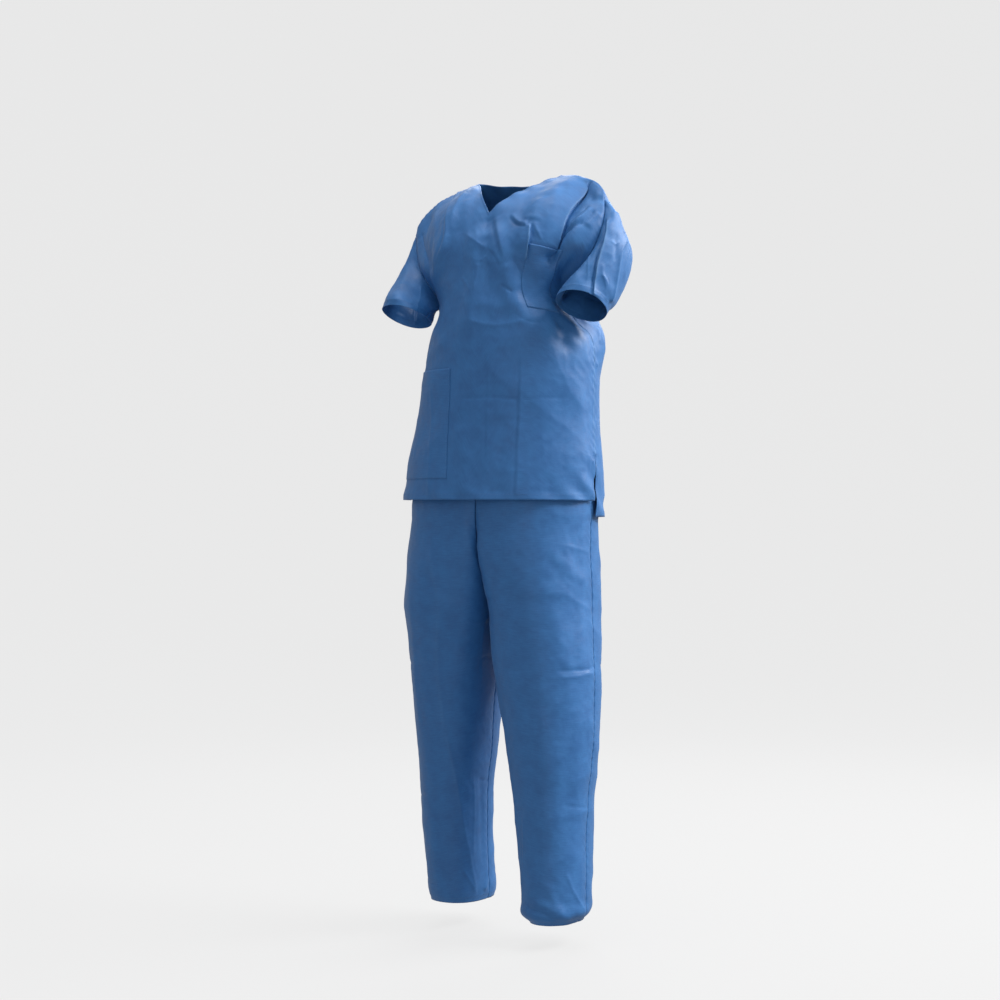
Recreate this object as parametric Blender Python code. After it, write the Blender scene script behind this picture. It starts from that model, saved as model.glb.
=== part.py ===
"""Scrub suit of light non-woven cloth, hollow, as it hangs on a wearer who stands with crossed arms.

Metres, +Z up. The garment faces -Y and the wearer's left is +X. The origin is the middle of the
neck opening, level with the high points of the shoulders. Heights in the tables are above the
floor that the wearer stands on.

Each panel is one surface, place(across, down), worked out from a short table of sections. across
runs from -1 at the wearer's right edge to +1 at the left edge, and down is the distance down the
cloth from the shoulder, in metres. The V neck is cut out of that surface, folds push it in or
out, and its wall is extruded inwards, so that panels meet in a mitre with a thin gap at seams.
"""

import bmesh
import bpy
import numpy as np

NECK_HEIGHT = 1.509  # floor to the origin
WALL = 0.0015  # cloth
SEAM_GAP = 0.0003  # between two panels that are sewn together
COLLECTION = "scrub_suit"

# Top, as it is cut
NECK_SHARE = 0.36  # of the half shoulder line that the neck opening takes
V_DEPTH = 0.118  # down the cloth, from the shoulder to the point of the V
BACK_NECK_DEPTH = 0.022
ARMHOLE = 0.25  # down the cloth, from the shoulder end to the underarm
SLIT_TOP = 0.60
LENGTH = 0.69

# Trousers
WAIST_TOP = 1.005  # above the floor
WAIST_SEAM = 0.968
CROTCH = 0.665
HEM_RIGHT = 0.050
HEM_LEFT = 0.045

CLOTH_BLUE = (0.060, 0.165, 0.375, 1.0)
CLOTH_ROUGHNESS = 0.6


def table(columns, *rows):
    """Rows of numbers as dictionaries, with the named columns."""
    return [dict(zip(columns.split(), row)) for row in rows]


# A section is one line across a panel: its middle and its two ends. square is 2 for an ellipse and
# more for a boxier bend. full is how far the cloth swells out beside each end.
FRONT = table(
    "down mid_x mid_y mid_z right_x right_y right_z left_x left_y left_z square full",
    (0.00, 0.000, 0.084, 0.008, -0.206, -0.010, -0.114, 0.218, -0.030, -0.062, 1.2, 0.0),
    (0.07, 0.000, -0.052, -0.043, -0.188, -0.036, -0.165, 0.226, -0.060, -0.114, 2.4, 0.0),
    (0.16, 0.000, -0.117, -0.126, -0.158, -0.055, -0.212, 0.204, -0.084, -0.184, 2.4, 0.0),
    (ARMHOLE, 0.001, -0.138, -0.213, -0.130, -0.044, -0.258, 0.138, -0.046, -0.242, 2.1, 0.0),
    (0.29, 0.002, -0.145, -0.252, -0.126, -0.031, -0.288, 0.136, -0.033, -0.277, 2.1, 0.0),
    (0.34, 0.003, -0.151, -0.302, -0.150, -0.012, -0.330, 0.172, -0.008, -0.323, 2.1, 0.0),
    (0.44, 0.005, -0.157, -0.401, -0.168, -0.008, -0.410, 0.183, -0.006, -0.407, 2.2, 0.0),
    (0.53, -0.003, -0.161, -0.491, -0.183, -0.010, -0.495, 0.182, -0.006, -0.495, 2.1, 0.0),
    (SLIT_TOP, -0.009, -0.167, -0.560, -0.199, -0.013, -0.562, 0.187, -0.010, -0.562, 2.1, 0.0),
    (LENGTH, -0.014, -0.175, -0.649, -0.210, -0.020, -0.650, 0.188, -0.018, -0.651, 2.1, 0.0),
)
BACK = table(
    "down mid_x mid_y mid_z right_x right_y right_z left_x left_y left_z square full",
    (0.00, 0.000, 0.084, 0.008, -0.206, -0.010, -0.114, 0.218, -0.030, -0.062, 1.2, 0.0),
    (0.07, 0.000, 0.112, -0.050, -0.212, 0.022, -0.172, 0.226, 0.002, -0.120, 2.2, 0.0),
    (0.16, 0.000, 0.128, -0.138, -0.180, 0.034, -0.232, 0.196, 0.030, -0.186, 2.4, 0.004),
    (ARMHOLE, 0.001, 0.134, -0.227, -0.130, -0.044, -0.258, 0.138, -0.046, -0.242, 2.4, 0.022),
    (0.29, 0.002, 0.135, -0.266, -0.126, -0.031, -0.288, 0.136, -0.033, -0.277, 2.4, 0.036),
    (0.34, 0.003, 0.136, -0.316, -0.150, -0.012, -0.330, 0.172, -0.008, -0.323, 2.4, 0.018),
    (0.44, 0.005, 0.137, -0.415, -0.168, -0.008, -0.410, 0.183, -0.006, -0.407, 2.2, 0.0),
    (0.53, -0.003, 0.138, -0.507, -0.183, -0.010, -0.495, 0.182, -0.006, -0.495, 2.2, 0.0),
    (SLIT_TOP, -0.009, 0.142, -0.582, -0.199, -0.013, -0.562, 0.187, -0.010, -0.562, 2.3, 0.0),
    (LENGTH, -0.014, 0.149, -0.683, -0.211, -0.008, -0.680, 0.188, -0.006, -0.683, 2.4, 0.0),
)

# How sharply each shoulder turns down at its end: more is squarer
SHOULDER_TURN = {"right": 2.0, "left": 2.1}

OUTER_SQUARE = 2.2  # of the outer half of a leg
BAND_DRAW = 0.06  # how much narrower the waistband's top is than its seam

# The seat, from the waist seam to the crotch. thigh is how far the two thighs stand apart in
# front, from 0 at the waist to 1 at the crotch. inner is how boxy a leg is beside the other leg.
SEAT = table(
    "height right_x left_x side_y  front_y back_y  seam_x  seam_front_y seam_back_y thigh inner",
    (0.968, -0.162, 0.158, -0.007, -0.132, 0.118, -0.002, -0.1320, 0.1180, 0.00, 2.2),
    (0.930, -0.176, 0.170, -0.008, -0.141, 0.126, -0.003, -0.1405, 0.1250, 0.10, 2.4),
    (0.880, -0.192, 0.181, -0.009, -0.149, 0.132, -0.005, -0.1460, 0.1280, 0.25, 2.7),
    (0.812, -0.193, 0.179, -0.010, -0.153, 0.136, -0.008, -0.1420, 0.1220, 0.45, 3.0),
    (0.760, -0.199, 0.178, -0.010, -0.154, 0.137, -0.009, -0.1220, 0.0980, 0.66, 3.2),
    (0.725, -0.200, 0.179, -0.010, -0.152, 0.135, -0.010, -0.0960, 0.0700, 0.82, 3.2),
    (0.700, -0.201, 0.180, -0.009, -0.150, 0.133, -0.010, -0.0680, 0.0420, 0.92, 3.2),
    (0.680, -0.202, 0.181, -0.009, -0.149, 0.131, -0.010, -0.0400, 0.0160, 0.98, 3.2),
    (0.665, -0.203, 0.181, -0.009, -0.148, 0.130, -0.010, -0.0100, -0.0100, 1.00, 3.2),
)
LEG_RIGHT = table(
    "height  centre_x centre_y half_width half_depth inner",
    (0.630, -0.1100, -0.0060, 0.0940, 0.1340, 3.1),
    (0.585, -0.1145, 0.0010, 0.0900, 0.1240, 2.9),
    (0.480, -0.1230, 0.0135, 0.0840, 0.1070, 2.5),
    (0.390, -0.1250, 0.0215, 0.0765, 0.0970, 2.3),
    (0.290, -0.1303, 0.0300, 0.0685, 0.0900, 2.2),
    (0.200, -0.1325, 0.0377, 0.0645, 0.0865, 2.2),
    (0.120, -0.1305, 0.0446, 0.0615, 0.0850, 2.2),
    (HEM_RIGHT, -0.1285, 0.0490, 0.0605, 0.0840, 2.2),
)
LEG_LEFT = table(
    "height  centre_x centre_y half_width half_depth inner",
    (0.630, 0.0890, -0.0120, 0.0940, 0.1360, 3.1),
    (0.585, 0.0920, -0.0190, 0.0970, 0.1260, 2.9),
    (0.480, 0.1030, -0.0330, 0.0940, 0.1120, 2.5),
    (0.390, 0.1125, -0.0434, 0.0860, 0.1030, 2.3),
    (0.290, 0.1190, -0.0541, 0.0740, 0.0930, 2.2),
    (0.200, 0.1255, -0.0638, 0.0670, 0.0870, 2.2),
    (0.120, 0.1330, -0.0725, 0.0620, 0.0845, 2.2),
    (HEM_LEFT, 0.1370, -0.0800, 0.0605, 0.0840, 2.2),
)

# The cuff of each sleeve: a ring square to the arm that it hangs on. bulge is the sleeve's
# fullness above it, outwards and behind.
CUFFS = {
    "sleeve_left": {
        "centre": (0.190, -0.085, -0.274),
        "arm": (0.015, -0.387, -0.922),
        "out": (1.0, 0.0, 0.0),
        "radius_out": 0.046,
        "radius_front": 0.064,
        "bulge": 0.036,
    },
    "sleeve_right": {
        "centre": (-0.186, -0.090, -0.283),
        "arm": (-0.080, -0.300, -0.950),
        "out": (-1.0, 0.0, 0.0),
        "radius_out": 0.046,
        "radius_front": 0.062,
        "bulge": -0.004,
    },
}
FULL_BEHIND = 0.6  # radians, from straight outwards to where a sleeve is fullest
ARM_CLEARANCE = 0.007  # from a sleeve to the body panels beside it
ARM_REACH = 0.10  # how far up and down from the cuff an arm presses the body panels in
PRESS_BELOW = 0.03  # down the cloth from the underarm, to where that pressing is full
PRESS_BESIDE = 0.12  # across, from an armhole to the same

PANEL_HALF = 0.285  # flat width of half a body panel, which places folds on it

# The largest folds, each along three places on its panel. width is from the crest to where it
# fades, and depth is outwards.
FOLDS = table(
    "panel        across_1 down_1 across_2 down_2 across_3 down_3 width depth",
    ("top_front", 0.70, 0.035, 0.65, 0.110, 0.68, 0.200, 0.036, -0.015),
    ("top_front", 0.50, 0.020, 0.44, 0.080, 0.40, 0.170, 0.040, 0.005),
    ("top_front", -0.78, 0.040, -0.80, 0.100, -0.72, 0.170, 0.036, -0.008),
    ("top_front", -0.34, 0.040, -0.40, 0.120, -0.56, 0.190, 0.040, 0.007),
    ("top_front", -0.08, 0.180, -0.06, 0.260, -0.10, 0.340, 0.045, 0.006),
    ("top_front", 0.10, 0.180, 0.28, 0.250, 0.36, 0.320, 0.045, 0.006),
    ("top_back", 0.64, 0.040, 0.60, 0.090, 0.58, 0.160, 0.038, -0.010),
    ("top_back", 0.50, 0.140, 0.46, 0.280, 0.44, 0.420, 0.055, 0.008),
    ("top_back", -0.50, 0.140, -0.46, 0.300, -0.44, 0.440, 0.055, 0.008),
    ("top_back", 0.18, 0.200, 0.15, 0.340, 0.14, 0.480, 0.055, -0.007),
    ("top_back", -0.20, 0.220, -0.17, 0.360, -0.16, 0.500, 0.055, -0.007),
)

# Steps of the grids
NECK_STEPS = 5  # across, from the point of the V to the shoulder
SHOULDER_STEPS = 8  # across, from the neck to the armhole
ARMHOLE_STEPS = 11
BODY_LINES = (ARMHOLE, 0.43, SLIT_TOP, 0.645, LENGTH)  # with the hip pocket's top and foot
BODY_STEPS = (6, 6, 1, 2)  # down, from each of those lines to the next
CROTCH_STEPS = 12  # down a leg, from the waist to the crotch
LEG_STEPS = 20  # from the crotch to the hem
SLEEVE_STEPS = 8
LEG_ACROSS_STEPS = 12
BAND_STEPS = 3
CURVE_SAMPLES = 60

# Patch pockets, as lines of the front panel's grid: columns from the wearer's right, rows from
# the top. Each pocket is made from the panel's own points, moved out.
POCKETS = table(
    "name           first_column last_column first_row last_row",
    ("chest_pocket", 19, 23, 8, 13),
    ("hip_pocket", 3, 10, 17, 24),
)


# ---- curves ----


def smooth(t):
    t = np.clip(t, 0.0, 1.0)
    return t * t * (3 - 2 * t)


def through(knots, values, t):
    """A smooth curve through the values, at t, with tangents from each knot's neighbours."""
    knots, values = np.asarray(knots), np.asarray(values)
    slopes = np.gradient(values, knots, axis=0)
    k = int(np.clip(np.searchsorted(knots, t) - 1, 0, len(knots) - 2))
    step = knots[k + 1] - knots[k]
    s = np.clip((t - knots[k]) / step, 0.0, 1.0)
    return (
        (1 + 2 * s) * (1 - s) ** 2 * values[k]
        + s * (1 - s) ** 2 * step * slopes[k]
        + s * s * (3 - 2 * s) * values[k + 1]
        + s * s * (s - 1) * step * slopes[k + 1]
    )


def at_share(points, share):
    """The point at this share of a polyline's length."""
    lengths = np.linalg.norm(np.diff(points, axis=0), axis=1)
    along = np.concatenate([[0.0], np.cumsum(lengths)])
    if along[-1] < 1e-9:
        return points[0]
    return np.array([np.interp(share * along[-1], along, points[:, i]) for i in range(3)])


def quarter(mid, end, square, turn=2.0, full=0.0):
    """A quarter of a superellipse, from its flat middle to its end.

    turn is how sharply it drops to the end, and full swells it out beside the end.
    """
    angle = np.linspace(0.0, np.pi / 2, CURVE_SAMPLES)
    out = np.sin(angle) ** (2 / square)
    back = np.cos(angle) ** (2 / square)
    lift = np.clip(1 - out**turn, 0, 1) ** (1 / turn)
    mid, end = np.asarray(mid), np.asarray(end)
    swell = np.sign(end[0] - mid[0]) * full * np.sin(np.pi * back)
    return np.stack(
        [
            mid[0] + (end[0] - mid[0]) * out + swell,
            end[1] + (mid[1] - end[1]) * back,
            end[2] + (mid[2] - end[2]) * lift,
        ],
        axis=1,
    )


# ---- the top ----


def sections_across(sections, across):
    """Where one column of a body panel crosses each section."""
    side = "left" if across >= 0 else "right"
    found = []
    for row in sections:
        mid = (row["mid_x"], row["mid_y"], row["mid_z"])
        end = (row[side + "_x"], row[side + "_y"], row[side + "_z"])
        turn = SHOULDER_TURN[side] if row["down"] == 0 else 2.0
        line = quarter(mid, end, row["square"], turn, row["full"])
        found.append(at_share(line, abs(across)))
    return np.array(found)


def arm_line(cuff):
    centre = np.array(cuff["centre"])
    arm = np.array(cuff["arm"])
    return centre, arm / np.linalg.norm(arm)


def pressed_by_arms(point, across, down):
    """Moves a point of a body panel inwards, clear of the sleeves that hang beside it."""
    below, beside = (down - ARMHOLE) / PRESS_BELOW, (1 - abs(across)) / PRESS_BESIDE
    weight = smooth(max(below, beside))
    for cuff in CUFFS.values():
        centre, arm = arm_line(cuff)
        offset = point - centre
        along = offset @ arm
        fade = 1 - smooth((abs(along) - 0.5 * ARM_REACH) / (0.5 * ARM_REACH))
        reach = cuff["radius_out"] + ARM_CLEARANCE
        off_axis = offset - along * arm
        if off_axis @ off_axis >= reach * reach:
            continue
        inward = np.array([-point[0], -point[1], 0.0])
        inward -= (inward @ arm) * arm
        inward /= np.linalg.norm(inward)
        b = off_axis @ inward
        push = -b + np.sqrt(b * b - off_axis @ off_axis + reach * reach)
        point = point + weight * fade * push * inward
    return point


def body_place(sections, across, down):
    """A place on a body panel. Front and back share their edges between the underarm and the slit."""
    spans = ((0.0, ARMHOLE), (ARMHOLE, SLIT_TOP), (SLIT_TOP, LENGTH))
    top, foot = next(span for span in spans if down <= span[1])
    rows = [row for row in sections if top <= row["down"] <= foot]
    point = through([row["down"] for row in rows], sections_across(rows, across), down)
    return pressed_by_arms(point, across, down)


def neck_cut(panel, across):
    """How far down the cloth the neck opening reaches in this column."""
    share = abs(across) / NECK_SHARE
    if share >= 1:
        return 0.0
    return V_DEPTH * (1 - share) if panel == "top_front" else BACK_NECK_DEPTH * (1 - share**2)


def body_columns():
    neck = np.linspace(0.0, NECK_SHARE, NECK_STEPS + 1)
    shoulder = np.linspace(NECK_SHARE, 1.0, SHOULDER_STEPS + 1)[1:]
    half = np.concatenate([neck, shoulder])
    return np.concatenate([-half[:0:-1], half])


def body_panel(panel, sections):
    """Places, as [row, column], and their (across, down) on the cloth."""
    places, cloth = [], []
    for across in body_columns():
        top = neck_cut(panel, across)
        downs = np.concatenate(
            [
                np.linspace(top, ARMHOLE, ARMHOLE_STEPS + 1),
                *(
                    np.linspace(start, end, steps + 1)[1:]
                    for start, end, steps in zip(BODY_LINES, BODY_LINES[1:], BODY_STEPS)
                ),
            ]
        )
        places.append([body_place(sections, across, down) for down in downs])
        cloth.append([(across, down) for down in downs])
    return np.array(places).swapaxes(0, 1), np.array(cloth).swapaxes(0, 1)


def sleeve(name, front, back):
    """A tube from the armhole's two edges to the cuff, as [row, column], closed across."""
    cuff = CUFFS[name]
    centre, arm = arm_line(cuff)
    out = np.array(cuff["out"]) - (np.array(cuff["out"]) @ arm) * arm
    out /= np.linalg.norm(out)
    ahead = np.cross(arm, out) if name == "sleeve_left" else np.cross(out, arm)
    edge = -1 if name == "sleeve_left" else 0
    ring = np.concatenate(
        [front[: ARMHOLE_STEPS + 1, edge], back[ARMHOLE_STEPS - 1 : 0 : -1, edge]]
    )
    columns = []
    for k, start in enumerate(ring):
        turn = 2 * np.pi * k / len(ring)
        spoke = np.cos(turn) * out + np.sin(turn) * ahead
        end = (
            centre
            + cuff["radius_out"] * np.cos(turn) * out
            + cuff["radius_front"] * np.sin(turn) * ahead
        )
        span = np.linalg.norm(end - start)
        outer = max(0.0, np.cos(turn + FULL_BEHIND))
        rise = np.linspace(0.0, 1.0, SLEEVE_STEPS + 1)[:, None]
        leave = span * (0.8 * arm + 0.2 * spoke * outer)
        column = (
            (1 + 2 * rise) * (1 - rise) ** 2 * start
            + rise * (1 - rise) ** 2 * leave
            + rise * rise * (3 - 2 * rise) * end
            + rise * rise * (rise - 1) * span * arm
            + np.sin(np.pi * rise**0.85) * cuff["bulge"] * outer * spoke
        )
        columns.append(column)
    return np.array(columns).swapaxes(0, 1)


# ---- the trousers ----


def leg_line(outer, middle, inner, square, share):
    """One line round the front or the back of a leg, from the outseam to the inner seam."""
    first = quarter(middle, outer, OUTER_SQUARE)[::-1]
    second = quarter(middle, inner, square)
    return at_share(np.concatenate([first, second[1:]]), share)


def seat_line(row, side, face, share):
    """Where one column of a leg panel crosses a section of the seat."""
    z = row["height"] - NECK_HEIGHT
    outer_x, seam_x = row[side + "_x"], row["seam_x"]
    middle_x = seam_x + 0.5 * row["thigh"] * (outer_x - seam_x)
    outer = (outer_x, row["side_y"], z)
    middle = (middle_x, row[face + "_y"], z)
    inner = (seam_x, row["seam_" + face + "_y"], z)
    return leg_line(outer, middle, inner, row["inner"], share)


def shin_line(row, side, face, share):
    """Where one column of a leg panel crosses a section below the crotch."""
    z = row["height"] - NECK_HEIGHT
    out = 1 if side == "left" else -1
    ahead = -1 if face == "front" else 1
    x, y = row["centre_x"], row["centre_y"]
    outer = (x + out * row["half_width"], y, z)
    middle = (x, y + ahead * row["half_depth"], z)
    inner = (x - out * row["half_width"], y, z)
    return leg_line(outer, middle, inner, row["inner"], share)


def leg_column(side, face, share, heights):
    """Places down one column of a leg panel, apart above and below the crotch, which is a corner."""
    seat = np.array([seat_line(row, side, face, share) for row in SEAT])
    legs = LEG_LEFT if side == "left" else LEG_RIGHT
    shin = np.array([seat[-1], *(shin_line(row, side, face, share) for row in legs)])
    seat_knots = [-row["height"] for row in SEAT]
    shin_knots = [-CROTCH, *(-row["height"] for row in legs)]
    return [
        through(seat_knots, seat, -height) if height >= CROTCH else through(shin_knots, shin, -height)
        for height in heights
    ]


def leg_panel(side, face):
    hem = HEM_LEFT if side == "left" else HEM_RIGHT
    nearer = np.sin(np.linspace(0, np.pi / 2, CROTCH_STEPS + 1))
    heights = np.concatenate(
        [
            WAIST_SEAM - (WAIST_SEAM - CROTCH) * nearer,
            np.linspace(CROTCH, hem, LEG_STEPS + 1)[1:],
        ]
    )
    columns = []
    for share in np.linspace(0.0, 1.0, LEG_ACROSS_STEPS + 1):
        columns.append(leg_column(side, face, share, heights))
    return np.array(columns).swapaxes(0, 1)


def waistband(legs):
    """A ring that stands on the waist seams of the four leg panels, drawn in by its elastic."""
    ring = np.concatenate(
        [
            legs["leg_front_right"][0],
            legs["leg_front_left"][0][-2::-1],
            legs["leg_back_left"][0][1:],
            legs["leg_back_right"][0][-2:0:-1],
        ]
    )
    centre = ring.mean(axis=0)
    rows = []
    for rise in np.linspace(1.0, 0.0, BAND_STEPS + 1):
        row = centre + (ring - centre) * (1 - BAND_DRAW * rise)
        row[:, 2] += rise * (WAIST_TOP - WAIST_SEAM)
        rows.append(row)
    return np.array(rows)


# ---- folds, seams and walls ----


def fold_push(panel, cloth):
    """How far out each point of a body panel is pushed by its folds."""
    push = np.zeros(cloth.shape[:2])
    spot = cloth * (PANEL_HALF, 1.0)
    for fold in FOLDS:
        if fold["panel"] != panel:
            continue
        stops = [
            np.array([fold[f"across_{k}"] * PANEL_HALF, fold[f"down_{k}"]]) for k in (1, 2, 3)
        ]
        gaps = []
        for start, end in zip(stops, stops[1:]):
            line = end - start
            share = np.clip((spot - start) @ line / (line @ line), 0.0, 1.0)
            gaps.append(np.linalg.norm(spot - start - share[..., None] * line, axis=2))
        push += fold["depth"] * (1 - smooth(np.minimum(*gaps) / fold["width"]))
    return push


def grid_normals(places, closed):
    """Normals that point out where the columns run anticlockwise, as seen from above."""
    if closed:
        across = np.roll(places, -1, axis=1) - np.roll(places, 1, axis=1)
    else:
        across = np.gradient(places, axis=1)
    down = np.gradient(places, axis=0)
    normal = np.cross(down, across)
    return normal / np.maximum(np.linalg.norm(normal, axis=2, keepdims=True), 1e-12)


def keys(places):
    return [tuple(key) for key in np.round(places.reshape(-1, 3), 4).tolist()]


def weld(pieces, values):
    """Gives points that two pieces share at a seam the mean of their values."""
    total, count = {}, {}
    for name, places in pieces.items():
        flat = values[name].reshape(len(places) * places.shape[1], -1)
        for key, value in zip(keys(places), flat):
            total[key] = total.get(key, 0) + value
            count[key] = count.get(key, 0) + 1
    return {
        name: np.array([total[key] / count[key] for key in keys(places)]).reshape(
            values[name].shape
        )
        for name, places in pieces.items()
    }


def unit(normals):
    return normals / np.linalg.norm(normals, axis=2, keepdims=True)


def pulled_back(places, closed):
    """Draws a panel's edges in by half a seam gap, along the cloth."""
    moved = places.copy()

    def draw(edge, inner):
        step = inner - edge
        return 0.5 * SEAM_GAP * step / np.linalg.norm(step, axis=-1, keepdims=True)

    moved[0] += draw(places[0], places[1])
    moved[-1] += draw(places[-1], places[-2])
    if not closed:
        moved[:, 0] += draw(places[:, 0], places[:, 1])
        moved[:, -1] += draw(places[:, -1], places[:, -2])
    return moved


def cloth_material():
    material = bpy.data.materials.new("cloth_blue")
    material.use_nodes = True
    shader = material.node_tree.nodes["Principled BSDF"]
    shader.inputs["Base Color"].default_value = CLOTH_BLUE
    shader.inputs["Roughness"].default_value = CLOTH_ROUGHNESS
    shader.inputs["Metallic"].default_value = 0.0
    return material


def short_diagonals(places, closed):
    """Whether each quad of a grid is shorter from its first corner to the one across from it."""
    if closed:
        places = np.concatenate([places, places[:, :1]], axis=1)
    first = np.linalg.norm(places[1:, 1:] - places[:-1, :-1], axis=2)
    second = np.linalg.norm(places[1:, :-1] - places[:-1, 1:], axis=2)
    return first <= second


def build_wall(name, outer, normals, diagonals, closed, collection, material):
    """A grid set on the outer points, joined round if it is a tube, then extruded inwards."""
    rows, columns = outer.shape[:2]
    bm = bmesh.new()
    bmesh.ops.create_grid(bm, x_segments=columns - (not closed), y_segments=rows - 1, size=1.0)
    bm.verts.ensure_lookup_table()
    width = columns + 1 if closed else columns
    layer = bm.verts.layers.float_vector.new("inward")
    for index, vert in enumerate(bm.verts):
        row, column = divmod(index, width)
        vert.co = outer[row, column % columns]
        vert[layer] = -WALL * normals[row, column % columns]
    # Diagonals are handed in, so that a pocket keeps its distance from its panel.
    split = {True: [], False: []}
    for face, short in zip(bm.faces, diagonals.ravel().tolist()):
        split[short].append(face)
    bmesh.ops.triangulate(bm, faces=split[True], quad_method="FIXED")
    bmesh.ops.triangulate(bm, faces=split[False], quad_method="ALTERNATE")
    if closed:
        bmesh.ops.remove_doubles(bm, verts=bm.verts, dist=1e-6)
    made = bmesh.ops.extrude_face_region(bm, geom=bm.faces[:], use_keep_orig=True)
    for item in made["geom"]:
        if isinstance(item, bmesh.types.BMVert):
            item.co += item[layer]
    bmesh.ops.recalc_face_normals(bm, faces=bm.faces[:])
    bmesh.ops.triangulate(bm, faces=bm.faces[:])
    mesh = bpy.data.meshes.new(name)
    bm.to_mesh(mesh)
    bm.free()
    mesh.shade_smooth()
    mesh.set_sharp_from_angle(angle=np.radians(50))
    mesh.materials.append(material)
    piece = bpy.data.objects.new(name, mesh)
    collection.objects.link(piece)


def main():
    for obj in list(bpy.data.objects):
        bpy.data.objects.remove(obj)
    collection = bpy.data.collections.new(COLLECTION)
    bpy.context.scene.collection.children.link(collection)
    material = cloth_material()

    front, front_cloth = body_panel("top_front", FRONT)
    back, back_cloth = body_panel("top_back", BACK)
    top = {
        "top_front": front,
        "top_back": back,
        "sleeve_left": sleeve("sleeve_left", front, back),
        "sleeve_right": sleeve("sleeve_right", front, back),
    }
    legs = {
        f"leg_{face}_{side}": leg_panel(side, face)
        for face in ("front", "back")
        for side in ("right", "left")
    }
    pieces = {**top, **legs, "waistband": waistband(legs)}
    tubes = {"sleeve_left", "sleeve_right", "waistband"}
    # Columns run clockwise on these, as seen from above.
    turned = {"top_back", "sleeve_left", "leg_front_left", "leg_back_right"}

    normals = {
        name: grid_normals(places, name in tubes) * (-1 if name in turned else 1)
        for name, places in pieces.items()
    }
    normals = {name: unit(value) for name, value in weld(pieces, normals).items()}
    push = {name: np.zeros(places.shape[:2]) for name, places in pieces.items()}
    push["top_front"] = fold_push("top_front", front_cloth)
    push["top_back"] = fold_push("top_back", back_cloth)
    push = weld(pieces, push)
    folded = {name: pieces[name] + push[name][..., None] * normals[name] for name in pieces}
    normals = {
        name: grid_normals(places, name in tubes) * (-1 if name in turned else 1)
        for name, places in folded.items()
    }
    normals = {name: unit(value) for name, value in weld(folded, normals).items()}
    for name, places in folded.items():
        closed = name in tubes
        diagonals = short_diagonals(places, closed)
        places = pulled_back(places, closed)
        build_wall(name, places, normals[name], diagonals, closed, collection, material)

    for pocket in POCKETS:
        block = (
            slice(pocket["first_row"], pocket["last_row"] + 1),
            slice(pocket["first_column"], pocket["last_column"] + 1),
        )
        outward = normals["top_front"][block]
        places = folded["top_front"][block]
        diagonals = short_diagonals(places, False)
        places = places + (WALL + SEAM_GAP) * outward
        build_wall(pocket["name"], places, outward, diagonals, False, collection, material)


main()
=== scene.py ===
import math

import bmesh
import bpy
import numpy as np
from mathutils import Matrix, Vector, noise


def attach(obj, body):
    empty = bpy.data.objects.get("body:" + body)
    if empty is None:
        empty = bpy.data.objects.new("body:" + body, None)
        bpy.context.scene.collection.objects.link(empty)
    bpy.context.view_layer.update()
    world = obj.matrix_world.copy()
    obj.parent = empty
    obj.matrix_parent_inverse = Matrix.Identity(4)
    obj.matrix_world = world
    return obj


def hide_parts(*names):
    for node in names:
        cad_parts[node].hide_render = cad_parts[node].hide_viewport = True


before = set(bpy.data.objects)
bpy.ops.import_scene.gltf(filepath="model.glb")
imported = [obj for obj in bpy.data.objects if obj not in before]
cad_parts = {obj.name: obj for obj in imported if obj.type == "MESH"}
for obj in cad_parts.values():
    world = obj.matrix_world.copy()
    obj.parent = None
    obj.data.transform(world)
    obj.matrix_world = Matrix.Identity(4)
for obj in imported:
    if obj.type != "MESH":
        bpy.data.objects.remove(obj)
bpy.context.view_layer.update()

# metres throughout
cloth = {
    "thickness": 0.0005,
    "rimEdge": 0.0019,  # longer than the solids' wall, shorter than the other edges of their grids
    "panelHalf": 0.285,  # flat half width of a body panel
    "armhole": 0.25,  # down the cloth from the shoulder
    "waist": 0.43,
    "slitTop": 0.60,
    "hemLine": 0.645,
    "foot": 0.69,
    "neckShare": 0.36,
    "frontNeck": 0.118,  # depth of the V at its middle
    "backNeck": 0.022,
    "waistSeam": 0.968 - 1.509,
    "legPanelWidth": 0.285,
    "sleeveRound": 0.44,
    "sleeveLength": 0.22,
}


def rowsOf(columns, *rows):
    return [dict(zip(columns.split(), row)) for row in rows]


def smooth(t):
    t = np.clip(t, 0.0, 1.0)
    return t * t * (3 - 2 * t)


def unit(vectors):
    return vectors / np.maximum(np.linalg.norm(vectors, axis=-1, keepdims=True), 1e-12)


def curveWeights(knots, at, breaks=()):
    # what each knot's value counts for at each place, on a smooth curve that may turn at breaks
    weights = np.zeros((len(at), len(knots)))
    stops = [0, *breaks, len(knots) - 1]
    for first, last in zip(stops, stops[1:]):
        span = knots[first : last + 1]
        slopes = np.gradient(np.eye(len(span)), span, axis=0)
        for i in np.nonzero((at >= span[0] - 1e-9) & (at <= span[-1] + 1e-9))[0]:
            k = int(np.clip(np.searchsorted(span, at[i]) - 1, 0, len(span) - 2))
            step = span[k + 1] - span[k]
            s = (at[i] - span[k]) / step
            row = s * (1 - s) ** 2 * step * slopes[k] + s * s * (s - 1) * step * slopes[k + 1]
            row[k] += (1 + 2 * s) * (1 - s) ** 2
            row[k + 1] += s * s * (3 - 2 * s)
            weights[i] = 0
            weights[i, first : last + 1] = row
    return weights


def finerKnots(knots, lengths, size):
    # the knots with steps of about this size between them
    at = [knots[0]]
    for start, end, length in zip(knots, knots[1:], lengths):
        steps = max(1, round(length / size))
        at.extend(np.linspace(start, end, steps + 1)[1:])
    return np.array(at)


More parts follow.
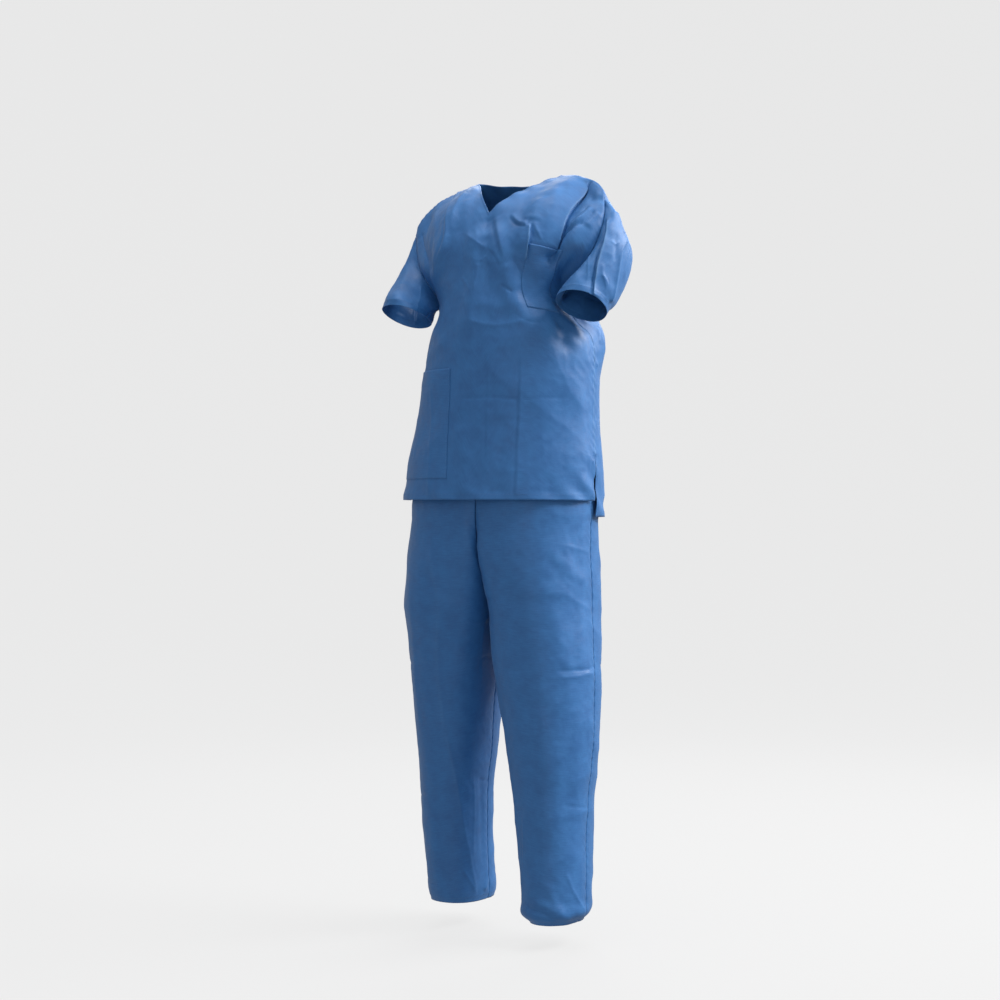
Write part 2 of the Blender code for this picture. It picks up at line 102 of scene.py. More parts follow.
def walk(start, ahead, allowed, joined):
    # along vertices that are joined one to the next
    line, used = [start], {start}
    while ahead is not None:
        line.append(ahead)
        used.add(ahead)
        ahead = next((v for v in joined[ahead] if v in allowed and v not in used), None)
    return line


def outerWall(node):
    # the outer wall of a cloth solid: its points, outward normals, neighbours and boundary edges
    bm = bmesh.new()
    bm.from_mesh(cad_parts[node].data)
    bmesh.ops.remove_doubles(bm, verts=bm.verts, dist=1e-5)
    rims = [f for f in bm.faces if min(e.calc_length() for e in f.edges) < cloth["rimEdge"]]
    bmesh.ops.delete(bm, geom=rims, context="FACES")
    bm.normal_update()
    left, walls = set(bm.verts), []
    while left:
        wall, edge = set(), [next(iter(left))]
        while edge:
            vert = edge.pop()
            if vert in wall:
                continue
            wall.add(vert)
            edge.extend(e.other_vert(vert) for e in vert.link_edges)
        walls.append(wall)
        left -= wall
    area = [sum(f.calc_area() for f in {f for v in wall for f in v.link_faces}) for wall in walls]
    outer = sorted(walls[area.index(max(area))], key=lambda v: v.index)
    order = {v: i for i, v in enumerate(outer)}
    joined = [{order[e.other_vert(v)] for e in v.link_edges} for v in outer]
    rim = [{order[e.other_vert(v)] for e in v.link_edges if e.is_boundary} for v in outer]
    points = np.array([v.co[:] for v in outer])
    normals = np.array([v.normal[:] for v in outer])
    bm.free()
    return points, normals, joined, rim


def readPanel(node, columns, corner):
    # rows of points from the top edge down, each from the side of the given foot corner
    points, normals, joined, rim = outerWall(node)
    edge = [i for i in range(len(points)) if rim[i]]
    start = max(edge, key=lambda i: points[i] @ np.array(corner))
    ahead = min(rim[start], key=lambda i: abs(points[i][2] - points[start][2]))
    row = walk(start, ahead, set(edge), rim)[:columns]
    rows, seen = [row], set(row)
    while len(seen) < len(points):
        allowed = set().union(*(joined[i] for i in row)) - seen
        first = next(i for i in rim[row[0]] if i in allowed)
        ahead = next(i for i in joined[first] if i in allowed)
        row = walk(first, ahead, allowed, joined)
        rows.append(row)
        seen.update(row)
    return points[np.array(rows[::-1])], normals[np.array(rows[::-1])]


def readTube(node):
    # the same of a tube, starting at the underarm
    points, normals, joined, rim = outerWall(node)
    start = min(range(len(points)), key=lambda i: points[i][2])
    row = walk(start, min(rim[start]), set(range(len(points))), rim)
    rows, seen = [row], set(row)
    while len(seen) < len(points):
        allowed = set().union(*(joined[i] for i in row)) - seen
        first = min(allowed)
        ring = walk(first, next(i for i in joined[first] if i in allowed), allowed, joined)
        turned = [np.roll(way, shift).tolist() for way in (ring, ring[::-1]) for shift in range(len(ring))]
        fitting = [way for way in turned if all(b in joined[a] for a, b in zip(row, way))]
        row = min(fitting, key=lambda way: np.linalg.norm(points[way] - points[row], axis=1).sum())
        rows.append(row)
        seen.update(row)
    rows = np.array(rows[::-1])
    rows = np.roll(rows, -int(points[rows[0], 2].argmin()), axis=1)
    rows = np.concatenate([rows, rows[:, :1]], axis=1)
    return points[rows], normals[rows]


def gridNormals(points, turned=False):
    made = unit(np.cross(np.gradient(points, axis=0), np.gradient(points, axis=1)))
    return -made if turned else made


def alongEdges(points):
    # how far each point is from the top, foot, first and last edges, along the cloth
    down = np.linalg.norm(np.diff(points, axis=0), axis=2)
    across = np.linalg.norm(np.diff(points, axis=1), axis=2)
    fromTop = np.concatenate([np.zeros((1, points.shape[1])), np.cumsum(down, axis=0)])
    fromFirst = np.concatenate([np.zeros((points.shape[0], 1)), np.cumsum(across, axis=1)], axis=1)
    return {
        "top": fromTop,
        "foot": fromTop[-1] - fromTop,
        "first": fromFirst,
        "last": fromFirst[:, -1:] - fromFirst,
    }


def flatSpots(points):
    # where each point lies on its cloth when that is flat, in metres from its top's middle
    away = alongEdges(points)
    return np.stack([(away["first"] - away["last"]) / 2, away["top"]], axis=2)


surfaces = {}


def onGrid(downWeights, values, acrossWeights):
    # the values of a coarse grid, taken on a finer one
    return np.einsum("ri,ijk,cj->rck", downWeights, values, acrossWeights)


def addSurface(name, points, spots, outward, u, v):
    # its grid is turned if its own normals point inwards
    turned = (gridNormals(points) * outward).sum() < 0
    surfaces[name] = {"points": points, "spots": spots, "turned": turned, "u": u, "v": v}


# the grids of the solids' walls, and where a panel's rows turn or part from a smooth run
bodyGrid = {"neckColumns": 5, "sideColumns": 8, "rows": (11, 6, 6, 1, 2), "sideTurns": (11, 23)}
bodyGrid.update(sideFrom=0.86, sideOver=0.12, hardly=0.01)
legGrid = {"columns": 13, "middle": 6, "crotch": 12, "partFrom": 0.5, "partOver": 0.4}


def bodyPanel(name, size):
    inner, outer = bodyGrid["neckColumns"], bodyGrid["sideColumns"]
    half = [cloth["neckShare"] * k / inner for k in range(inner + 1)]
    half += [cloth["neckShare"] + (1 - cloth["neckShare"]) * k / outer for k in range(1, outer + 1)]
    across = np.array([-a for a in half[:0:-1]] + half)
    stops = [0.0, *(cloth[key] for key in ("armhole", "waist", "slitTop", "hemLine", "foot"))]
    lines = zip(stops, stops[1:], bodyGrid["rows"])
    down = np.concatenate([[0.0], *(np.linspace(a, b, n + 1)[1:] for a, b, n in lines)])
    points, normals = readPanel(name, len(across), (-1, 0, -1))
    u = finerKnots(across, np.diff(across) * cloth["panelHalf"], size)
    v = finerKnots(down, np.diff(down), size)
    middle = len(half) - 1
    downWeights, acrossWeights = curveWeights(down, v), curveWeights(across, u)
    neckWeights = curveWeights(across, u, [middle - inner, middle, middle + inner])
    plain = onGrid(downWeights, points, acrossWeights)
    cut = onGrid(downWeights, points, neckWeights)
    side = onGrid(curveWeights(down, v, bodyGrid["sideTurns"]), points, acrossWeights)
    nearNeck = 1 - smooth(v / cloth["armhole"])[:, None, None]
    nearSide = smooth((np.abs(u) - bodyGrid["sideFrom"]) / bodyGrid["sideOver"])[None, :, None]
    fine = plain + nearNeck * (cut - plain) * (nearSide < bodyGrid["hardly"])
    fine = fine + nearSide * (side - fine)
    share = np.clip(np.abs(u) / cloth["neckShare"], 0, 1)
    top = cloth["frontNeck"] * (1 - share) if name == "top_front" else cloth["backNeck"] * (1 - share**2)
    shift = top[None, :] * np.clip(1 - v / cloth["armhole"], 0, 1)[:, None]
    spots = np.stack([np.tile(u, (len(v), 1)), v[:, None] + shift], axis=2)
    addSurface(name, fine, spots, onGrid(downWeights, normals, acrossWeights), u, v)


def legPanel(name, size):
    points, normals = readPanel(name, legGrid["columns"], (-1 if name.endswith("right") else 1, 0, -1))
    across = np.linspace(0, 1, legGrid["columns"])
    down = cloth["waistSeam"] - points[:, legGrid["middle"], 2]
    u = finerKnots(across, np.diff(across) * cloth["legPanelWidth"], size)
    v = finerKnots(down, np.diff(down), size)
    downWeights, acrossWeights = curveWeights(down, v), curveWeights(across, u)
    whole = onGrid(downWeights, points, acrossWeights)
    apart = onGrid(curveWeights(down, v, (legGrid["crotch"],)), points, acrossWeights)
    parted = smooth((u - legGrid["partFrom"]) / legGrid["partOver"])[None, :, None]
    fine = whole + parted * (apart - whole)
    spots = np.stack(np.meshgrid(u, v), axis=2)
    addSurface(name, fine, spots, onGrid(downWeights, normals, acrossWeights), u, v)


def sleevePanel(name, size):
    points, normals = readTube(name)
    rows, columns = points.shape[:2]
    around = np.linspace(0, 1, columns)
    down = np.linspace(0, 1, rows)
    u = finerKnots(around, np.diff(around) * cloth["sleeveRound"], size)
    v = finerKnots(down, np.diff(down) * cloth["sleeveLength"], size)
    # the ring goes on past its seam, so that it is smooth there
    before, after = slice(-4, -1), slice(1, 4)
    wrapped = np.concatenate([points[:, before], points, points[:, after]], axis=1)
    knots = np.concatenate([around[before] - 1, around, around[after] + 1])
    downWeights = curveWeights(down, v)
    fine = onGrid(downWeights, wrapped, curveWeights(knots, u))
    spots = np.stack(np.meshgrid(u, v), axis=2)
    addSurface(name, fine, spots, onGrid(downWeights, normals, curveWeights(around, u)), u, v)


gridSizes = {"top_front": 0.0030, "top_back": 0.0036, "sleeve": 0.0020}
gridSizes.update(leg_front=0.0031, leg_back=0.0040)
bodyPanel("top_front", gridSizes["top_front"])
bodyPanel("top_back", gridSizes["top_back"])
for side in ("left", "right"):
    sleevePanel("sleeve_" + side, gridSizes["sleeve"])
    legPanel("leg_front_" + side, gridSizes["leg_front"])
    legPanel("leg_back_" + side, gridSizes["leg_back"])
print("surfaces:", {name: s["points"].shape[:2] for name, s in surfaces.items()})


# Each crease runs through three places on its piece. On the body panels a place is across, from -1
# at the wearer's right edge to 1, and down the cloth from the shoulder; on a leg it is across from
# the outseam, and down from the waist seam; on a sleeve it is round from the underarm, and down,
# both as shares. depth is outwards. A step is steep on its left side, looking along it, and a lap
# hangs over there. fadeIn and fadeOut are shares of its length; also names a piece it runs on to.
creaseColumns = "u1 v1 u2 v2 u3 v3 width depth shape fadeIn fadeOut also"
usualFade = {"fadeIn": 0.2, "fadeOut": 0.2, "also": ""}
creases = {}
creases["top_front"] = rowsOf(
    creaseColumns,
    # from the wearer's right shoulder down
    (-0.53, 0.196, -0.41, 0.142, -0.51, 0.0, 0.016, 0.0041, "step", 0.1, 0.05),
    (-0.75, 0.017, -0.66, 0.097, -0.76, 0.125, 0.008, -0.0017, "soft"),
    (-0.67, 0.031, -0.56, 0.116, -0.58, 0.173, 0.008, 0.0019, "soft"),
    (-0.86, 0.034, -0.8, 0.114, -0.77, 0.173, 0.007, -0.0035, "crisp", 0.15, 0.2),
    (-0.267, 0.063, -0.226, 0.114, -0.226, 0.159, 0.016, 0.0022, "soft", 0.2, 0.3),
    # below the neck
    (0.0, 0.126, 0.041, 0.169, 0.041, 0.199, 0.014, -0.0026, "soft", 0.15, 0.3),
    (0.257, 0.223, 0.165, 0.18, 0.062, 0.125, 0.02, 0.0035, "step", 0.3, 0.12),
    (0.257, 0.223, 0.329, 0.247, 0.42, 0.277, 0.012, 0.0023, "soft"),
    (-0.247, 0.151, -0.041, 0.184, 0.165, 0.208, 0.012, 0.002, "crisp", 0.3, 0.15),
    (0.031, 0.19, 0.134, 0.212, 0.216, 0.241, 0.009, -0.0022, "crisp", 0.2, 0.25),
    (-0.031, 0.223, -0.041, 0.253, -0.062, 0.283, 0.006, 0.0019, "crisp", 0.15, 0.15),
    (-0.01, 0.222, 0.051, 0.211, 0.093, 0.224, 0.005, 0.0013, "crisp"),
    (0.062, 0.222, 0.093, 0.25, 0.093, 0.28, 0.007, -0.0013, "crisp"),
    (0.216, 0.268, 0.288, 0.277, 0.35, 0.283, 0.006, -0.0023, "crisp"),
    (-0.247, 0.245, -0.154, 0.265, -0.082, 0.283, 0.005, 0.0014, "crisp"),
    (0.298, 0.208, 0.37, 0.227, 0.44, 0.247, 0.007, -0.0023, "crisp"),
    # round the chest pocket
    (0.38, 0.145, 0.278, 0.138, 0.195, 0.121, 0.014, 0.0041, "step", 0.1, 0.3),
    (0.39, 0.142, 0.42, 0.176, 0.43, 0.219, 0.014, 0.0046, "lap", 0.12, 0.12),
    (0.43, 0.136, 0.47, 0.151, 0.54, 0.17, 0.006, 0.0022, "crisp", 0.2, 0.1),
    (0.42, 0.145, 0.44, 0.159, 0.48, 0.176, 0.006, -0.0023, "crisp"),
    (0.42, 0.077, 0.39, 0.105, 0.4, 0.136, 0.014, 0.0036, "soft", 0.3, 0.12),
    (0.5, 0.045, 0.54, 0.091, 0.57, 0.151, 0.018, 0.0036, "soft", 0.2, 0.3),
    (0.51, 0.031, 0.54, 0.074, 0.56, 0.108, 0.009, -0.0023, "soft", 0.2, 0.3),
    # from the left shoulder to the underarm, lapped over what lies beside it
    (0.69, 0.0, 0.62, 0.091, 0.66, 0.202, 0.02, 0.0091, "lap", 0.17, 0.12),
    (0.67, 0.202, 0.67, 0.23, 0.74, 0.268, 0.018, 0.0043, "soft", 0.3, 0.3),
    (0.66, 0.182, 0.7, 0.139, 0.83, 0.105, 0.01, -0.007, "crisp", 0.06, 0.15),
    (0.79, 0.116, 0.83, 0.097, 0.87, 0.068, 0.008, -0.0045, "crisp", 0.3, 0.25),
    (0.65, 0.139, 0.72, 0.108, 0.8, 0.065, 0.008, -0.0056, "crisp", 0.1, 0.2),
    (0.69, 0.131, 0.76, 0.108, 0.83, 0.068, 0.008, 0.0042, "crisp"),
    (0.85, 0.116, 0.88, 0.097, 0.92, 0.065, 0.009, 0.0026, "soft"),
    (1.0, 0.114, 1.0, 0.142, 1.0, 0.176, 0.008, -0.002, "soft"),
    (0.72, 0.165, 0.78, 0.176, 0.82, 0.188, 0.005, 0.0013, "crisp"),
    (0.87, 0.142, 0.95, 0.162, 1.0, 0.185, 0.005, 0.0012, "crisp"),
    (0.72, 0.009, 0.82, 0.026, 0.95, 0.023, 0.01, 0.0023, "soft"),
    (0.76, 0.051, 0.85, 0.045, 1.0, 0.017, 0.009, -0.0019, "soft"),
    # under the crossed arms
    (-0.082, 0.301, 0.195, 0.31, 0.49, 0.298, 0.014, 0.0022, "soft", 0.25, 0.25),
    (-0.185, 0.331, 0.134, 0.349, 0.51, 0.328, 0.011, 0.002, "crisp", 0.25, 0.25),
    (-0.288, 0.352, -0.4, 0.379, -0.69, 0.406, 0.012, 0.002, "soft", 0.25, 0.25),
    (0.57, 0.352, 0.7, 0.361, 0.82, 0.382, 0.01, 0.0018, "soft", 0.25, 0.25),
    (0.288, 0.322, 0.41, 0.34, 0.66, 0.331, 0.01, -0.0018, "crisp", 0.25, 0.25),
    # packing creases and soft hanging folds of the front
    (0.35, 0.684, 0.339, 0.543, 0.319, 0.397, 0.012, 0.0013, "step", 0.03, 0.1),
    (-0.185, 0.49, 0.082, 0.49, 0.329, 0.493, 0.007, -0.0014, "crisp", 0.3, 0.04),
    (0.329, 0.493, 0.53, 0.49, 0.77, 0.487, 0.007, -0.0008, "crisp", 0.04, 0.3),
    (0.134, 0.633, 0.093, 0.496, 0.062, 0.397, 0.009, 0.0007, "step", 0.2, 0.1),
    (-0.46, 0.458, -0.37, 0.572, -0.319, 0.687, 0.01, 0.0013, "crisp", 0.1, 0.05),
    (0.65, 0.367, 0.65, 0.493, 0.7, 0.68, 0.022, -0.0011, "soft", 0.15, 0.08),
    (0.81, 0.452, 0.84, 0.55, 0.86, 0.677, 0.014, 0.0015, "soft", 0.15, 0.08),
    (0.46, 0.397, 0.49, 0.534, 0.51, 0.68, 0.022, 0.001, "soft", 0.15, 0.08),
    (0.216, 0.515, 0.216, 0.594, 0.226, 0.687, 0.02, -0.0018, "soft", 0.15, 0.08),
    (-0.134, 0.534, -0.072, 0.612, -0.031, 0.687, 0.022, 0.0018, "soft", 0.15, 0.08),
    (0.93, 0.606, 1.0, 0.624, 1.0, 0.648, 0.006, 0.0015, "crisp"),
    # beside the arms
    (-0.93, 0.262, -0.82, 0.285, -0.66, 0.282, 0.008, 0.0032, "crisp", 0.15, 0.3),
    (-0.94, 0.29, -0.86, 0.34, -0.74, 0.385, 0.009, 0.0026, "crisp", 0.15, 0.3),
    (0.93, 0.262, 0.8, 0.28, 0.64, 0.27, 0.008, 0.0029, "crisp", 0.15, 0.3),
)
creases["top_back"] = rowsOf(
    creaseColumns,
    # beside the left arm
    (1.0, 0.37, 1.0, 0.4, 0.893, 0.419, 0.007, 0.0023, "crisp"),
    (0.84, 0.321, 0.88, 0.34, 0.893, 0.362, 0.007, 0.0023, "crisp"),
    # packing creases, folds to the underarms, hanging folds
    (0.02, 0.68, 0.0, 0.4, 0.015, 0.09, 0.012, 0.0017, "step", 0.03, 0.1),
    (-0.82, 0.49, -0.05, 0.492, 0.8, 0.488, 0.007, -0.0016, "crisp", 0.15, 0.15),
    (-0.47, 0.67, -0.49, 0.45, -0.48, 0.27, 0.009, 0.0008, "step", 0.1, 0.2),
    (0.64, 0.02, 0.67, 0.12, 0.8, 0.235, 0.018, 0.0045, "lap", 0.1, 0.15),
    (-0.79, 0.24, -0.65, 0.13, -0.66, 0.03, 0.017, 0.0034, "step", 0.15, 0.2),
    (0.47, 0.03, 0.53, 0.12, 0.66, 0.2, 0.013, 0.0031, "soft", 0.2, 0.3),
    (-0.36, 0.075, -0.02, 0.112, 0.35, 0.07, 0.018, 0.0035, "soft", 0.25, 0.25),
    (-0.56, 0.175, -0.24, 0.21, 0.1, 0.19, 0.015, 0.0024, "soft", 0.25, 0.25),
    (-0.34, 0.22, -0.39, 0.43, -0.43, 0.67, 0.024, 0.0059, "soft", 0.25, 0.06),
    (-0.16, 0.3, -0.19, 0.48, -0.18, 0.68, 0.02, -0.0046, "soft", 0.25, 0.06),
    (0.3, 0.2, 0.38, 0.43, 0.4, 0.67, 0.024, 0.0063, "soft", 0.25, 0.06),
    (0.18, 0.33, 0.22, 0.5, 0.21, 0.675, 0.018, -0.0039, "soft", 0.25, 0.06),
    (0.61, 0.3, 0.67, 0.5, 0.71, 0.67, 0.018, 0.0044, "soft", 0.2, 0.06),
    (-0.65, 0.33, -0.7, 0.5, -0.76, 0.67, 0.018, 0.0042, "soft", 0.2, 0.06),
    (-0.22, 0.3, -0.06, 0.328, 0.12, 0.312, 0.008, 0.0017, "crisp", 0.25, 0.25),
    (0.18, 0.36, 0.32, 0.388, 0.47, 0.372, 0.008, 0.0018, "crisp", 0.25, 0.25),
    (-0.54, 0.372, -0.38, 0.402, -0.2, 0.386, 0.007, 0.0016, "crisp", 0.25, 0.25),
    (-0.3, 0.425, -0.12, 0.436, 0.05, 0.42, 0.009, -0.0017, "crisp", 0.25, 0.25),
    (0.93, 0.27, 0.81, 0.3, 0.65, 0.312, 0.007, 0.0026, "crisp", 0.15, 0.3),
    (0.93, 0.3, 0.84, 0.35, 0.72, 0.395, 0.008, 0.0022, "crisp", 0.15, 0.3),
    (0.94, 0.255, 0.84, 0.262, 0.73, 0.255, 0.006, -0.0021, "crisp", 0.15, 0.3),
    (-0.93, 0.27, -0.79, 0.312, -0.62, 0.33, 0.007, 0.0025, "crisp", 0.15, 0.3),
    (-0.93, 0.3, -0.85, 0.362, -0.74, 0.425, 0.008, 0.002, "crisp", 0.15, 0.3),
    (-0.95, 0.44, -0.84, 0.452, -0.7, 0.448, 0.008, 0.0017, "crisp", 0.15, 0.3),
    (0.95, 0.52, 0.88, 0.552, 0.79, 0.572, 0.008, 0.0017, "crisp", 0.15, 0.3),
    (0.92, 0.06, 0.79, 0.105, 0.65, 0.11, 0.009, 0.0034, "crisp", 0.15, 0.3),
    (0.94, 0.14, 0.81, 0.168, 0.64, 0.16, 0.009, -0.0033, "crisp", 0.15, 0.3),
    (-0.93, 0.08, -0.8, 0.12, -0.66, 0.17, 0.009, 0.0034, "crisp", 0.15, 0.3),
    (-0.94, 0.16, -0.8, 0.186, -0.6, 0.236, 0.009, -0.003, "crisp", 0.15, 0.3),
    (-0.12, 0.11, 0.08, 0.23, 0.06, 0.37, 0.018, 0.0032, "soft", 0.25, 0.25),
    (0.25, 0.1, 0.13, 0.16, -0.06, 0.2, 0.008, -0.0024, "crisp", 0.25, 0.3),
)
creases["sleeve_left"] = rowsOf(
    creaseColumns,
    # pressed in its packet
    (0.409, 1.0, 0.403, 0.625, 0.442, 0.139, 0.016, 0.0056, "lap", 0.02, 0.12),
    (0.558, 0.264, 0.5, 0.569, 0.552, 0.931, 0.014, 0.0042, "crisp", 0.1, 0.03),
    (0.513, 0.139, 0.513, 0.264, 0.526, 0.333, 0.008, 0.0028, "crisp", 0.1, 0.1),
    (0.494, 0.125, 0.461, 0.236, 0.448, 0.417, 0.008, 0.0021, "soft"),
    (0.422, 0.639, 0.429, 0.764, 0.474, 0.889, 0.006, 0.0018, "crisp"),
    (0.468, 0.333, 0.468, 0.431, 0.474, 0.639, 0.006, -0.0017, "soft"),
    (0.201, 0.014, 0.338, 0.694, 0.344, 0.903, 0.006, 0.0014, "crisp"),
    (0.357, 0.319, 0.364, 0.597, 0.377, 0.833, 0.01, 0.0021, "soft"),
    (0.44, 0.42, 0.465, 0.47, 0.49, 0.45, 0.006, 0.0016, "crisp", 0.2, 0.25),
    (0.42, 0.76, 0.45, 0.8, 0.48, 0.86, 0.006, 0.0018, "crisp", 0.2, 0.25),
    (0.33, 0.3, 0.345, 0.56, 0.34, 0.85, 0.009, 0.0016, "soft", 0.25, 0.15),
    (0.51, 0.18, 0.56, 0.36, 0.555, 0.62, 0.008, -0.0018, "crisp", 0.2, 0.3),
    # behind
    (0.725, 0.95, 0.73, 0.5, 0.715, 0.08, 0.012, 0.0028, "step", 0.05, 0.15),
    (0.61, 0.12, 0.64, 0.5, 0.66, 0.92, 0.014, 0.0028, "soft", 0.2, 0.08),
    (0.83, 0.15, 0.845, 0.5, 0.86, 0.88, 0.012, -0.0022, "soft", 0.2, 0.15),
    (0.56, 0.3, 0.68, 0.38, 0.79, 0.33, 0.007, 0.0018, "crisp", 0.25, 0.25),
    (0.66, 0.62, 0.76, 0.66, 0.88, 0.56, 0.007, 0.0018, "crisp", 0.25, 0.25),
)
creases["sleeve_right"] = rowsOf(
    creaseColumns,
    (0.584, 0.194, 0.695, 0.5, 0.773, 1.0, 0.016, 0.0031, "soft", 0.2, 0.1),
    (0.545, 0.111, 0.636, 0.208, 0.766, 0.542, 0.01, -0.0018, "soft"),
    (0.786, 0.208, 0.87, 0.542, 0.916, 1.0, 0.007, 0.0015, "crisp", 0.2, 0.1),
    (0.513, 0.347, 0.558, 0.583, 0.708, 0.944, 0.009, 0.0028, "crisp", 0.15, 0.05),
    # behind
    (0.3, 0.1, 0.305, 0.5, 0.29, 0.95, 0.012, 0.0025, "step", 0.15, 0.05),
    (0.4, 0.15, 0.42, 0.5, 0.41, 0.9, 0.012, 0.0025, "soft", 0.2, 0.08),
    (0.19, 0.3, 0.205, 0.56, 0.2, 0.9, 0.01, -0.002, "soft", 0.2, 0.1),
    (0.23, 0.42, 0.34, 0.5, 0.46, 0.44, 0.007, 0.0017, "crisp", 0.25, 0.25),
)
creases["leg_front_right"] = rowsOf(
    creaseColumns,
    (0.643, 0.178, 0.524, 0.385, 0.56, 0.583, 0.026, 0.004, "crisp", 0.12, 0.1),
    (0.548, 0.556, 0.655, 0.686, 0.798, 0.901, 0.022, 0.0032, "crisp", 0.1, 0.05),
    (0.56, 0.433, 0.607, 0.426, 0.655, 0.419, 0.006, 0.0013, "crisp"),
    (0.786, 0.423, 0.869, 0.419, 1.0, 0.426, 0.006, -0.0016, "crisp", 0.2, 0.1),
    (0.833, 0.487, 0.81, 0.344, 1.0, 0.227, 0.01, 0.0009, "step"),
    (0.786, 0.648, 0.81, 0.74, 0.774, 0.843, 0.008, 0.0013, "crisp"),
    (0.869, 0.652, 0.905, 0.754, 0.893, 0.857, 0.01, -0.002, "soft"),
    (0.845, 0.669, 0.976, 0.675, 1.0, 0.669, 0.006, -0.0018, "crisp", 0.2, 0.1),
    (0.988, 0.85, 0.964, 0.874, 0.905, 0.901, 0.007, 0.0025, "soft", 0.2, 0.1),
    (0.381, 0.255, 0.345, 0.426, 0.321, 0.59, 0.01, 0.0015, "soft"),
    (0.821, 0.194, 0.655, 0.303, 0.667, 0.412, 0.018, -0.0018, "soft"),
    (0.81, 0.904, 0.738, 0.874, 0.667, 0.846, 0.007, 0.0015, "crisp", 0.1, 0.2),
    (0.417, 0.71, 0.452, 0.802, 0.476, 0.897, 0.012, 0.0018, "soft", 0.2, 0.06),
    # outer and inner sides
    (0.06, 0.432, 0.28, 0.436, 0.52, 0.43, 0.007, -0.0016, "crisp", 0.05, 0.2, "leg_back_right"),
    (0.08, 0.7, 0.2, 0.706, 0.36, 0.7, 0.006, -0.0013, "crisp", 0.05, 0.3, "leg_back_right"),
    (0.15, 0.15, 0.21, 0.26, 0.23, 0.4, 0.014, 0.0018, "soft"),
    (0.9, 0.33, 0.76, 0.35, 0.6, 0.33, 0.009, 0.0016, "crisp", 0.1, 0.35),
    (0.12, 0.5, 0.17, 0.65, 0.16, 0.84, 0.014, 0.0018, "soft", 0.2, 0.1),
    (0.18, 0.87, 0.36, 0.882, 0.56, 0.872, 0.007, -0.0014, "crisp"),
)
creases["leg_front_left"] = rowsOf(
    creaseColumns,
    (0.75, 0.165, 0.631, 0.28, 0.607, 0.396, 0.01, 0.001, "crisp"),
    (0.333, 0.437, 0.19, 0.437, 0.0, 0.434, 0.007, -0.002, "crisp", 0.2, 0.04, "leg_back_left"),
    (0.333, 0.448, 0.19, 0.448, 0.0, 0.444, 0.008, 0.0018, "crisp", 0.2, 0.04, "leg_back_left"),
    (0.619, 0.437, 0.56, 0.437, 0.488, 0.437, 0.006, -0.0012, "crisp", 0.1, 0.3),
    (0.44, 0.201, 0.286, 0.234, 0.024, 0.283, 0.014, 0.0018, "soft"),
    (0.321, 0.28, 0.19, 0.3, 0.0, 0.327, 0.01, 0.0014, "crisp"),
    (0.333, 0.194, 0.202, 0.201, 0.0, 0.214, 0.008, 0.0013, "crisp"),
    (0.333, 0.3, 0.298, 0.341, 0.286, 0.406, 0.016, 0.0016, "soft"),
    (0.31, 0.692, 0.155, 0.699, 0.0, 0.706, 0.006, -0.0014, "crisp", 0.3, 0.04, "leg_back_left"),
    (0.726, 0.703, 0.667, 0.706, 0.595, 0.706, 0.006, -0.0022, "crisp", 0.05, 0.2, "leg_back_left"),
    (0.738, 0.889, 0.655, 0.799, 0.607, 0.709, 0.009, 0.002, "step", 0.1, 0.15),
    (0.393, 0.492, 0.393, 0.644, 0.393, 0.796, 0.024, 0.003, "soft"),
    (0.226, 0.492, 0.238, 0.644, 0.262, 0.778, 0.018, -0.0018, "soft"),
    (0.631, 0.889, 0.464, 0.895, 0.369, 0.909, 0.009, -0.0035, "crisp", 0.1, 0.1),
    (0.393, 0.909, 0.25, 0.916, 0.048, 0.916, 0.008, -0.0026, "crisp", 0.1, 0.2),
    (0.595, 0.878, 0.429, 0.885, 0.274, 0.899, 0.009, 0.0025, "soft"),
    (0.274, 0.816, 0.179, 0.864, 0.012, 0.906, 0.009, 0.0022, "crisp", 0.25, 0.1),
    (0.417, 0.837, 0.381, 0.868, 0.321, 0.892, 0.009, 0.0015, "soft", 0.25, 0.1),
    # outer and inner sides
    (0.13, 0.12, 0.12, 0.3, 0.14, 0.45, 0.014, 0.0016, "soft"),
    (0.9, 0.33, 0.74, 0.352, 0.56, 0.34, 0.009, 0.0015, "crisp", 0.1, 0.35),
    (0.88, 0.56, 0.86, 0.7, 0.85, 0.85, 0.01, 0.0014, "soft", 0.2, 0.1),
)
creases["leg_back_left"] = rowsOf(
    creaseColumns,
    # pressed crease, seat, knee, foot
    (0.5, 0.12, 0.48, 0.45, 0.5, 0.9, 0.022, 0.004, "crisp", 0.15, 0.06),
    (0.93, 0.31, 0.7, 0.265, 0.38, 0.245, 0.014, 0.0042, "soft", 0.1, 0.35),
    (0.94, 0.335, 0.7, 0.345, 0.4, 0.372, 0.01, 0.0025, "crisp", 0.08, 0.35),
    (0.1, 0.205, 0.3, 0.24, 0.56, 0.25, 0.014, 0.0024, "soft", 0.25, 0.25),
    (0.08, 0.434, 0.42, 0.437, 0.86, 0.432, 0.007, -0.0022, "crisp", 0.05, 0.2),
    (0.13, 0.48, 0.4, 0.496, 0.72, 0.478, 0.009, -0.0024, "crisp", 0.25, 0.25),
    (0.25, 0.53, 0.52, 0.545, 0.86, 0.528, 0.009, 0.0021, "crisp", 0.25, 0.25),
    (0.18, 0.6, 0.24, 0.72, 0.23, 0.86, 0.014, 0.003, "soft", 0.2, 0.1),
    (0.78, 0.58, 0.74, 0.7, 0.76, 0.86, 0.013, -0.0027, "soft", 0.2, 0.1),
    (0.15, 0.87, 0.45, 0.884, 0.8, 0.866, 0.009, -0.0035, "crisp", 0.15, 0.2),
    (0.22, 0.85, 0.5, 0.862, 0.74, 0.846, 0.01, 0.003, "soft", 0.25, 0.25),
)
